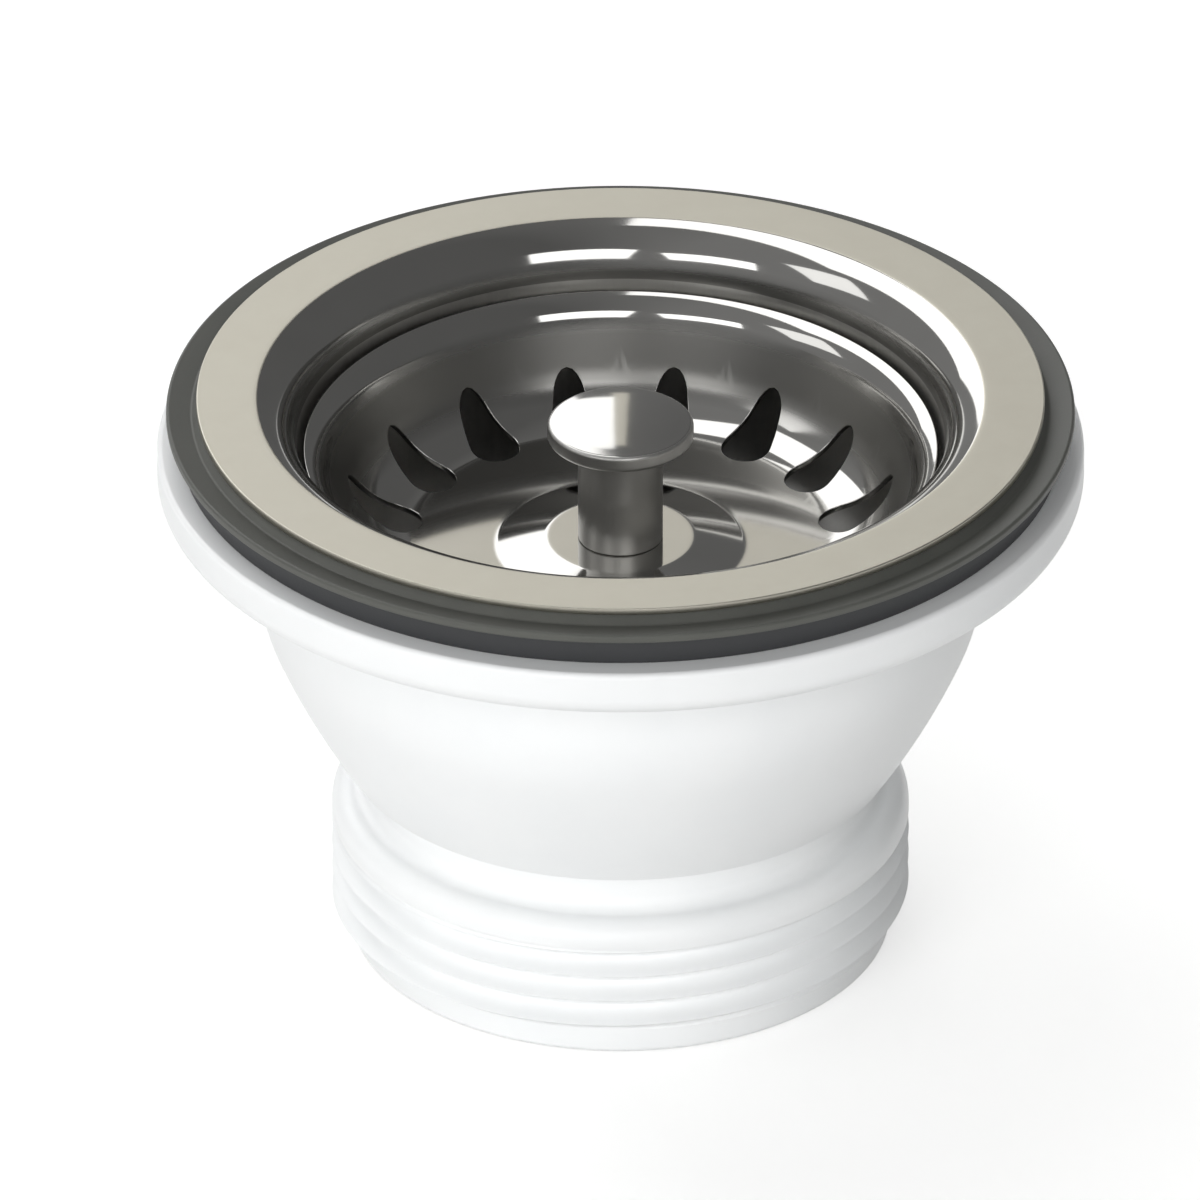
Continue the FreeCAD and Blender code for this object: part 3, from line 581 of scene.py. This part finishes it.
def make_object(name, shape, *finishes):
    """Weld a bmesh into an object with its materials."""
    bmesh.ops.remove_doubles(shape, verts=shape.verts, dist=WELD)
    mesh = bpy.data.meshes.new(name)
    shape.to_mesh(mesh)
    shape.free()
    for finish in finishes:
        mesh.materials.append(finish)
    thing = bpy.data.objects.new(name, mesh)
    bpy.context.collection.objects.link(thing)
    return thing


def settle(thing):
    """Apply an object's modifiers to its mesh."""
    graph = bpy.context.evaluated_depsgraph_get()
    mesh = bpy.data.meshes.new_from_object(thing.evaluated_get(graph))
    thing.modifiers.clear()
    thing.data = mesh


def dress(thing, node):
    """Shade a finished piece smooth with crisp edges, and let it stand for a node of the frame."""
    settle(thing)
    thing.data.shade_smooth()
    thing.data.set_sharp_from_angle(angle=CRISP)
    even = thing.modifiers.new("even_shading", "WEIGHTED_NORMAL")
    even.keep_sharp = True
    settle(thing)
    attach(thing, body_of[node])
    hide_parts(node)
    print(f"{thing.name}: {len(thing.data.polygons)} faces on {body_of[node]}")


print("a turned row has", COLUMNS, "faces")

# %% [markdown]
# ## The outlet's thread
# The outlet carries between three and four turns of a right-hand pipe thread, inch and a half size, with
# crests 2.31 mm apart. It could be a bump, but its ridges break the outline, so it is geometry. Its rows of
# vertices follow the helix, and each is cut off level at the thread's two ends, so every crest is one clean
# edge. Its crests are fairly sharp, its roots are round, and it fades out under the shoulder.

# %% Thread of the outlet
PITCH = 2.309
CREST_RADIUS = 23.9
THREAD_DEPTH = 1.48
THREAD_LOW = 2.3
THREAD_HIGH = 10.75
FADE = 0.7
CREST_AT_FRONT = 3.55
CREST_SOFTNESS = 0.05
ROWS_A_TURN = 20
LEAD_RADIUS = 22.35
FRONT = -math.pi / 2


def thread_radius(z, turns):
    """Radius of the thread's skin at a height, a number of turns away from a crest."""
    across = 2 * abs(turns - round(turns))
    slope = math.hypot(across, CREST_SOFTNESS) - CREST_SOFTNESS
    fade = min(1, (THREAD_HIGH - z) / FADE)
    return CREST_RADIUS - THREAD_DEPTH * fade * math.sin(math.pi / 2 * slope)


def add_thread(shape):
    """Add the threaded skin between the plain lead and the shoulder."""
    turns_below = math.ceil((CREST_AT_FRONT - THREAD_LOW) / PITCH) + 1
    turns_above = math.ceil((THREAD_HIGH - CREST_AT_FRONT) / PITCH)
    steps = range(-turns_below * ROWS_A_TURN, turns_above * ROWS_A_TURN + 1)
    columns = [k / COLUMNS for k in range(COLUMNS + 1)]
    rows = [[shape.verts.new(point(LEAD_RADIUS, FRONT + 2 * math.pi * c, THREAD_LOW)) for c in columns]]
    for step in steps:
        row = []
        for c in columns:
            z = CREST_AT_FRONT + PITCH * (step / ROWS_A_TURN + c)
            z = min(max(z, THREAD_LOW), THREAD_HIGH)
            r = thread_radius(z, (z - CREST_AT_FRONT) / PITCH - c)
            row.append(shape.verts.new(point(r, FRONT + 2 * math.pi * c, z)))
        rows.append(row)
    for low, high in zip(rows, rows[1:]):
        for k in range(COLUMNS):
            shape.faces.new((low[k], low[k + 1], high[k + 1], high[k]))


print(f"the thread has {(THREAD_HIGH - THREAD_LOW) / PITCH:.1f} turns")

# %% [markdown]
# ## The moulded body
# Rim, cup, neck and outlet come out of one mould, so they are one skin. Its outline starts at the thread's
# upper end, goes up the outside, over the rim and down the inside to the outlet's end. Four ribs and a hub
# stand in the outlet. The ribs are plain blocks that reach into the wall and into the hub. One union joins
# them to the wall and a second one adds the hub, so that no wall is left inside another. The ribs end a
# little above the hub's lower end, because a union fails most easily where two faces lie in one plane.

# %% Moulded body
rim_radius, _, rim_top = measured("body")
RIM_THICKNESS = 4.2
CUP_RADIUS = 30.05
CUP_WALL = 2.15
BEND_TOP = 33.95
BEND_RADIUS = 28.9
BEND_LOW = 28.15
FOOT_RADIUS = 22.9
FOOT_Z = 16.85
NECK_RADIUS = 21.0
SHOULDER_Z = 12.95
GASKET_BORE = 30.95
OUTLET_BORE = 18.85
SHOULDER_ROUND = 1.65
SHOULDER_FILLET = 1.2
NECK_TOP_ROUND = 0.8
RIM_ROOT_ROUND = 1.2
RIM_LOW_ROUND = 1.8
RIM_TOP_ROUND = 0.5
SEAT_ROUND = 0.2
BORE_ROUND = 0.3
LEAD_ROUND = 0.5
DOWN = -math.pi / 2


def cup_side(side, waist, foot):
    """Points down the side of the cup from its straight wall to its foot."""
    points = [Vector((side, BEND_TOP))]
    first, heading = bend(points[0], DOWN, (waist, BEND_LOW))
    second, heading = bend(first[-1], heading, (foot, FOOT_Z))
    return points + first + second


def plain_block(shape, low, high, angle):
    """Add a closed block between two corners in millimetres, turned about Z."""
    made = bmesh.ops.create_cube(shape, size=1)
    low, high = Vector(low) * MM, Vector(high) * MM
    bmesh.ops.scale(shape, verts=made["verts"], vec=high - low)
    bmesh.ops.translate(shape, verts=made["verts"], vec=(low + high) / 2)
    bmesh.ops.rotate(shape, verts=made["verts"], matrix=Matrix.Rotation(angle, 3, "Z"))


rim_low = rim_top - RIM_THICKNESS
outside = rounded(
    (CREST_RADIUS, THREAD_HIGH, 0),
    (CREST_RADIUS, SHOULDER_Z, SHOULDER_ROUND),
    (NECK_RADIUS, SHOULDER_Z, SHOULDER_FILLET),
    (NECK_RADIUS, FOOT_Z, NECK_TOP_ROUND),
    (FOOT_RADIUS, FOOT_Z, 0),
)
outside += cup_side(CUP_RADIUS, BEND_RADIUS, FOOT_RADIUS)[::-1]
rim = rounded(
    (CUP_RADIUS, BEND_TOP, 0),
    (CUP_RADIUS, rim_low, RIM_ROOT_ROUND),
    (rim_radius, rim_low, RIM_LOW_ROUND),
    (rim_radius, rim_top, RIM_TOP_ROUND),
    (GASKET_BORE, rim_top, SEAT_ROUND),
    (CUP_RADIUS - CUP_WALL, rim_low, 0),
)
inside = cup_side(CUP_RADIUS - CUP_WALL, BEND_RADIUS - CUP_WALL, OUTLET_BORE)
outlet = rounded(
    (OUTLET_BORE, FOOT_Z, 0),
    (OUTLET_BORE, 0, BORE_ROUND),
    (LEAD_RADIUS, 0, LEAD_ROUND),
    (LEAD_RADIUS, THREAD_LOW, 0),
)
shape = bmesh.new()
spin(shape, outside + rim + inside + outlet)
add_thread(shape)
moulded_body = make_object("moulded_body", shape, polypropylene)
print(f"the skin of the body has {len(moulded_body.data.polygons)} faces")

# %% Ribs and hub of the outlet
HUB_RADIUS = 8.5
HUB_LOW = 8.85
HUB_ROUND = 0.3
RIB_COUNT = 4
RIB_LOW = 9.25
RIB_HALF = 1.1
RIB_SINK = 1.0  # how far a rib reaches into the hub and into the wall
POCKET_RADIUS = 6.05
POCKET_TOP = 17.85
POCKET_ROUND = 0.2
SCREW_HOLE = 4.1

shape = bmesh.new()
rib_start = (HUB_RADIUS - RIB_SINK, -RIB_HALF, RIB_LOW)
rib_end = (OUTLET_BORE + RIB_SINK, RIB_HALF, FOOT_Z)
for k in range(RIB_COUNT):
    plain_block(shape, rib_start, rib_end, 2 * math.pi * k / RIB_COUNT)
ribs = make_object("ribs", shape, polypropylene)
hub_outline = rounded(
    (HUB_RADIUS, HUB_LOW, HUB_ROUND),
    (HUB_RADIUS, bowl_low, HUB_ROUND),
    (SCREW_HOLE, bowl_low, 0),
    (SCREW_HOLE, POCKET_TOP, 0),
    (POCKET_RADIUS, POCKET_TOP, 0),
    (POCKET_RADIUS, HUB_LOW, POCKET_ROUND),
)
shape = bmesh.new()
spin(shape, hub_outline + hub_outline[:1])
hub = make_object("hub", shape, polypropylene)
for inner_piece in (ribs, hub):
    union = moulded_body.modifiers.new(inner_piece.name, "BOOLEAN")
    union.operation = "UNION"
    union.solver = "MANIFOLD"
    union.object = inner_piece
dress(moulded_body, "body")
for inner_piece in (ribs, hub):
    bpy.data.objects.remove(inner_piece)

# %% [markdown]
# ## Gaskets
# Two rubber rings hold the sink's sheet between them. The lower one is a plain flat ring. The upper one
# reaches out from under the flange, and dips beside the flange's edge so that the steel stands clear of it.
# Small roundings on their corners catch the light and keep them from looking cut out of card.

# %% Gaskets
lower_radius, lower_low, lower_high = measured("lower_gasket")
LOWER_GASKET_ROUND = 0.35
shape = bmesh.new()
ring = rounded(
    (GASKET_BORE, lower_low, 0),
    (lower_radius, lower_low, LOWER_GASKET_ROUND),
    (lower_radius, lower_high, LOWER_GASKET_ROUND),
    (GASKET_BORE, lower_high, 0),
)
spin(shape, ring + ring[:1])
dress(make_object("lower_gasket_ring", shape, rubbers["moulded_black_rubber"]), "lower_gasket")

upper_radius, upper_low, upper_high = measured("upper_gasket")
GASKET_EDGE = 0.8
GASKET_EDGE_ROUND = 0.25
GASKET_DIP = 0.4
GASKET_DIP_ROUND = 0.3
GASKET_TOP_ROUND = 0.1
shape = bmesh.new()
ring = rounded(
    (GASKET_BORE, upper_low, 0),
    (upper_radius, upper_low, GASKET_EDGE_ROUND),
    (upper_radius, upper_low + GASKET_EDGE, GASKET_EDGE_ROUND),
    (flange_radius + GASKET_DIP, upper_high - 2 * GASKET_DIP, GASKET_DIP_ROUND),
    (flange_radius - GASKET_DIP, upper_high, GASKET_TOP_ROUND),
    (GASKET_BORE, upper_high, 0),
)
spin(shape, ring + ring[:1])
dress(make_object("upper_gasket_ring", shape, rubbers["moulded_grey_rubber"]), "upper_gasket")

# %% [markdown]
# ## Punched sheet
# The bowl and the basket are pressed from thin sheet with a ring of holes. Cutting holes with a boolean
# leaves long thin faces, and polished steel shows each of them. Here the sheet's upper side is laid out as
# sectors, one for each hole, and each sector is a net of faces that runs from the hole's edge out to the
# sector's border. The net is drawn flat and then lifted onto the outline. A Solidify modifier gives the
# sheet its thickness, and a small Bevel takes the sharpness off the cut edges. Mirror-bright sheet shows
# the smallest error of shading, so the upper side takes its normals straight from the outline.

# %% Punched sheet helpers
NET_RINGS = 9
BISECTIONS = 30
SAME_SIDE = math.cos(math.radians(12))  # a face within 12 degrees of the outline's normal is the upper side
FLAT_EDGE = 0.5  # width of the ring beside a bend or an edge, inside which a flat face is shaded flat
MIRROR_STEP = math.radians(2)  # a mirror shows coarse steps, so pressed outlines have finer arcs
CUT_EDGE_ANGLE = math.radians(60)
CUT_EDGE_ROWS = 3


def hole_edge(middle, border, gap):
    """Point where the way from a hole's middle to the border leaves the hole."""
    inside, outside = middle, border
    for _ in range(BISECTIONS):
        between = (inside + outside) / 2
        if gap(between) < 0:
            inside = between
        else:
            outside = between
    return outside


def sector_border(radii, half, steps):
    """Points round one sector on the X axis: the outer arc, one side, the inner arc and the other side."""
    arc = [half * (2 * k / steps - 1) for k in range(steps + 1)]
    polar = [(radii[0], a) for a in arc]
    polar += [(r, half) for r in radii[1:]]
    polar += [(radii[-1], -a) for a in arc[1:]]
    polar += [(r, -half) for r in radii[-2:0:-1]]
    return [Vector((r * math.cos(a), r * math.sin(a))) for r, a in polar]


def punched_sheet(outline, count, outer, inner, middle, gap):
    """Upper side of a sheet whose outline runs inwards, with holes between two radii.

    gap gives the distance from a hole's edge, less than zero inside, for a hole on the X axis.
    """
    shape = bmesh.new()
    radii = [p.x for p in outline][::-1]
    heights = [p.y for p in outline][::-1]
    ends = {r: float(np.interp(r, radii, heights)) for r in (outer, inner)}
    rim_part = [p for p in outline if p.x > outer] + [Vector((outer, ends[outer]))]
    floor_part = [Vector((inner, ends[inner]))] + [p for p in outline if p.x < inner]
    spin(shape, rim_part)
    spin(shape, floor_part)
    side = [outer] + [p.x for p in outline if inner < p.x < outer] + [inner]
    half = math.pi / count
    border = sector_border(side, half, COLUMNS // count)
    edge = [hole_edge(Vector((middle, 0)), p, gap) for p in border]
    net = [[e.lerp(b, k / NET_RINGS) for e, b in zip(edge, border)] for k in range(NET_RINGS + 1)]
    for sector in range(count):
        angle = (2 * sector + 1) * half
        rows = []
        for loop in net:
            row = []
            for p in loop:
                r = p.length
                z = float(np.interp(r, radii, heights))
                row.append(shape.verts.new(point(r, math.atan2(p.y, p.x) + angle, z)))
            rows.append(row)
        for near, far in zip(rows, rows[1:]):
            for k in range(len(border)):
                shape.faces.new((far[k - 1], far[k], near[k], near[k - 1]))
    return shape


def thicken(thing, thickness, edge):
    """Give a sheet its thickness under the upper side, and soften its cut edges."""
    sheet = thing.modifiers.new("sheet", "SOLIDIFY")
    sheet.thickness = thickness * MM
    sheet.offset = -1
    sheet.use_even_offset = True
    soft = thing.modifiers.new("cut_edges", "BEVEL")
    soft.width = edge * MM
    soft.segments = CUT_EDGE_ROWS
    soft.limit_method = "ANGLE"
    soft.angle_limit = CUT_EDGE_ANGLE


def true_shading(thing, outline):
    """Give the upper side of a pressed sheet the exact normals of its turned outline."""
    places = []
    leans = []
    for a, b in zip(outline, outline[1:]):
        run = b - a
        inset = FLAT_EDGE / 2 / run.length
        for part in (inset, 1 - inset) if inset < 0.5 else (0.5,):
            places.append(a.x + run.x * part)
            leans.append(math.atan2(run.y, -run.x))
    mesh = thing.data
    normals = [corner.vector.copy() for corner in mesh.corner_normals]
    for face in mesh.polygons:
        for corner in face.loop_indices:
            spot = mesh.vertices[mesh.loops[corner].vertex_index].co
            out = spot.to_2d()
            lean = float(np.interp(out.length / MM, places[::-1], leans[::-1]))
            out = out.normalized() * math.sin(lean)
            exact = Vector((out.x, out.y, math.cos(lean)))
            if face.normal.dot(exact) > SAME_SIDE:
                normals[corner] = exact
    mesh.normals_split_custom_set(normals)


print("each hole has", NET_RINGS, "rings of faces round it")

# %% [markdown]
# ## Flange and bowl
# One sheet makes the flange, the mouth and the bowl. The flange lies flat and satin. At the mouth the
# sheet turns down over a crisp edge and rolls in a soft curve into the wall. The floor has eight drain
# holes round the hole for the screw. Faces outside the mouth's edge get the satin steel, the mouth gets
# the part polished steel, and the bowl below it gets the drawn steel.

# %% Flange and bowl
BOWL_SHEET = 0.6
BOWL_CUT_EDGE = 0.24
MOUTH_RADIUS = 30.0
MOUTH_ROUND = 0.7
NECK = (26.98, flange_top - 1.19)
BOWL_NECK_ROUND = 4.5
BOWL_FOOT_RADIUS = 25.6
BOWL_CORNER_ROUND = 6.0
DRAIN_COUNT = 8
DRAIN_RADIUS = 3.0
DRAIN_PITCH = 10.4
DRAIN_ROOM = 0.9
POLISHED_DOWN_TO = flange_top - 4.2

bowl_floor = bowl_low + BOWL_SHEET
bowl_outline = rounded(
    (flange_radius, flange_top, 0),
    (flange_radius - FLAT_EDGE, flange_top, 0),
    (MOUTH_RADIUS + FLAT_EDGE, flange_top, 0),
    (MOUTH_RADIUS, flange_top, MOUTH_ROUND),
    (*NECK, BOWL_NECK_ROUND),
    (BOWL_FOOT_RADIUS, bowl_floor, BOWL_CORNER_ROUND),
    (SCREW_HOLE, bowl_floor, 0),
    step=MIRROR_STEP,
)


def drain_gap(p):
    """Distance from the edge of the drain hole on the X axis."""
    return math.hypot(p.x - DRAIN_PITCH, p.y) - DRAIN_RADIUS


shape = punched_sheet(bowl_outline, DRAIN_COUNT, DRAIN_PITCH + DRAIN_RADIUS + DRAIN_ROOM,
                      DRAIN_PITCH - DRAIN_RADIUS - DRAIN_ROOM, DRAIN_PITCH, drain_gap)
for face in shape.faces:
    middle = face.calc_center_median() / MM
    face.material_index = int(middle.to_2d().length < MOUTH_RADIUS) + int(middle.z < POLISHED_DOWN_TO)
pressed_bowl = make_object("pressed_flange_and_bowl", shape, satin_steel, part_polished_with_painted_shade["bowl"], drawn_steel)
thicken(pressed_bowl, BOWL_SHEET, BOWL_CUT_EDGE)
dress(pressed_bowl, "flange_bowl")
true_shading(pressed_bowl, bowl_outline)

# %% [markdown]
# ## Basket
# The basket is a shallow cup of thinner sheet with a flared rim and a raised pad in the middle of its floor.
# Sixteen slots are punched through the corner between floor and wall, each wider at its inner end. Seen
# from above a slot is two circles and the two lines that touch both, and that distance is easy to write.

# %% Basket
_, basket_low, _ = measured("basket")
BASKET_SHEET = 0.5
BASKET_CUT_EDGE = 0.08
RIM_EDGE = (26.13, flange_top - 4.8)
FLARE = (24.78, flange_top - 5.39)
FLARE_ROUND = 3.0
CORNER_RADIUS = 21.35
CORNER_ROUND = 6.2
FLAT_FLOOR_RADIUS = 16.9
PAD_FOOT = 10.2
PAD_RADIUS = 6.2
PAD_HEIGHT = 0.7
PAD_ROUND = 1.5
SPIGOT_HOLE = 2.6
SLOT_COUNT = 16
SLOT_WIDE = 2.05
SLOT_NARROW = 1.3
SLOT_WIDE_AT = 18.8
SLOT_NARROW_AT = 21.6
SLOT_ROOM = 0.7

basket_floor = basket_low + BASKET_SHEET
pad_top = basket_floor + PAD_HEIGHT
basket_outline = rounded(
    (*RIM_EDGE, 0),
    (*FLARE, FLARE_ROUND),
    (CORNER_RADIUS, basket_floor, CORNER_ROUND),
    (FLAT_FLOOR_RADIUS, basket_floor, 0),
    (PAD_FOOT + FLAT_EDGE, basket_floor, 0),
    (PAD_FOOT, basket_floor, PAD_ROUND),
    (PAD_RADIUS, pad_top, PAD_ROUND),
    (PAD_RADIUS - FLAT_EDGE, pad_top, 0),
    (SPIGOT_HOLE + FLAT_EDGE, pad_top, 0),
    (SPIGOT_HOLE, pad_top, 0),
    step=MIRROR_STEP,
)


def slot_gap(p):
    """Distance from the edge of the slot on the X axis."""
    length = SLOT_NARROW_AT - SLOT_WIDE_AT
    lean = (SLOT_WIDE - SLOT_NARROW) / length
    upright = math.sqrt(1 - lean ** 2)
    along, across = p.x - SLOT_WIDE_AT, abs(p.y)
    reach = along * upright - across * lean
    if reach < 0:
        return math.hypot(along, across) - SLOT_WIDE
    if reach > length * upright:
        return math.hypot(along - length, across) - SLOT_NARROW
    return across * upright + along * lean - SLOT_WIDE


shape = punched_sheet(basket_outline, SLOT_COUNT, SLOT_NARROW_AT + SLOT_NARROW + SLOT_ROOM,
                      SLOT_WIDE_AT - SLOT_WIDE - SLOT_ROOM, (SLOT_WIDE_AT + SLOT_NARROW_AT) / 2, slot_gap)
pressed_basket = make_object("pressed_basket", shape, part_polished_with_painted_shade["basket"])
thicken(pressed_basket, BASKET_SHEET, BASKET_CUT_EDGE)
dress(pressed_basket, "basket")
true_shading(pressed_basket, basket_outline)

# %% [markdown]
# ## Knob
# The knob is turned in one piece with its stem, the spigot that the stopper hangs on and the guide pin
# below. Its head is slightly domed, so one half of it mirrors the white panel and the other half the dark
# room. Only its top is polished, and the rest stays as it was turned.

# %% Knob
knob_radius, knob_low, knob_top = measured("knob")
KNOB_THICKNESS = 1.95
KNOB_DOME = 0.5
STEM_RADIUS = 3.5
SPIGOT_RADIUS = 2.5
PIN_RADIUS = 1.9
PIN_END_ROUND = 0.5
GROOVE_RADIUS = 1.4
GROOVE_GAP = 0.1
SPIGOT_END_ROUND = 0.2
STEM_FOOT_ROUND = 0.15
STEM_TOP_FILLET = 0.6
HEAD_ROUND = 0.4
_, ring_low, ring_high = measured("catch_ring")
_, nut_low, _ = measured("lock_nut")
head_low = knob_top - KNOB_THICKNESS
dome_edge = knob_top - KNOB_DOME
groove_low = ring_low - GROOVE_GAP
groove_high = ring_high + GROOVE_GAP

knob_side = rounded(
    (0, knob_low, 0),
    (PIN_RADIUS, knob_low, PIN_END_ROUND),
    (PIN_RADIUS, groove_low, 0),
    (GROOVE_RADIUS, groove_low, 0),
    (GROOVE_RADIUS, groove_high, 0),
    (PIN_RADIUS, groove_high, 0),
    (PIN_RADIUS, nut_low, 0),
    (SPIGOT_RADIUS, nut_low, SPIGOT_END_ROUND),
    (SPIGOT_RADIUS, pad_top, 0),
    (STEM_RADIUS, pad_top, STEM_FOOT_ROUND),
    (STEM_RADIUS, head_low, STEM_TOP_FILLET),
    (knob_radius, head_low, HEAD_ROUND),
    (knob_radius, dome_edge, HEAD_ROUND),
    (0, knob_top, 0),
)
dome_start = knob_side[-2]
dome, _ = bend((0, knob_top), 0, dome_start)
shape = bmesh.new()
spin(shape, knob_side[:-2] + dome[::-1] + knob_side[-1:])
for face in shape.faces:
    face.material_index = int(face.calc_center_median().z / MM > dome_edge)
dress(make_object("turned_knob", shape, turned_steel, polished_steel), "knob")

# %% [markdown]
# ## Stopper
# The stopper is a soft bell of rubber under the basket. Its lip comes down round the drain holes when the
# basket is pushed home. All its edges are rounded, as they come out of the mould.

# %% Stopper
seal_radius, seal_low, seal_top = measured("stopper_seal")
SEAL_HUB_RADIUS = 13.0
SEAL_HUB_THICKNESS = 2.2
SEAL_LIP = 1.6
SEAL_LIP_ROUND = 0.3
SEAL_EDGE = 0.9
SEAL_HOLLOW_ROUND = 0.8
SEAL_HUB_ROUND = 0.6
shape = bmesh.new()
bell = rounded(
    (SPIGOT_HOLE, seal_top - SEAL_HUB_THICKNESS, 0),
    (SEAL_HUB_RADIUS - SEAL_LIP, seal_top - SEAL_HUB_THICKNESS, SEAL_HOLLOW_ROUND),
    (seal_radius - SEAL_LIP, seal_low, SEAL_LIP_ROUND),
    (seal_radius, seal_low, SEAL_LIP_ROUND),
    (seal_radius, seal_low + SEAL_EDGE, SEAL_LIP_ROUND),
    (SEAL_HUB_RADIUS, seal_top, SEAL_HUB_ROUND),
    (SPIGOT_HOLE, seal_top, 0),
)
spin(shape, bell + bell[:1])
dress(make_object("stopper_bell", shape, rubbers["moulded_black_rubber"]), "stopper_seal")

# %% [markdown]
# ## Pieces that keep their solids
# The screw, the insert, the washers, the nut and the catch ring already have their true form. They only
# take the finish of their material.

# %% Finishes of the kept pieces
kept_finishes = {
    "centre_screw": tumbled_steel,
    "insert_nut": turned_brass,
    "backing_washer": tumbled_steel,
    "clamp_washer": tumbled_steel,
    "lock_nut": tumbled_steel,
    "catch_ring": rubbers["moulded_black_rubber"],
}
for node, finish in kept_finishes.items():
    for holder in frame["nodes"][node].material_slots:
        holder.material = finish
    print(node, "is", finish.name)
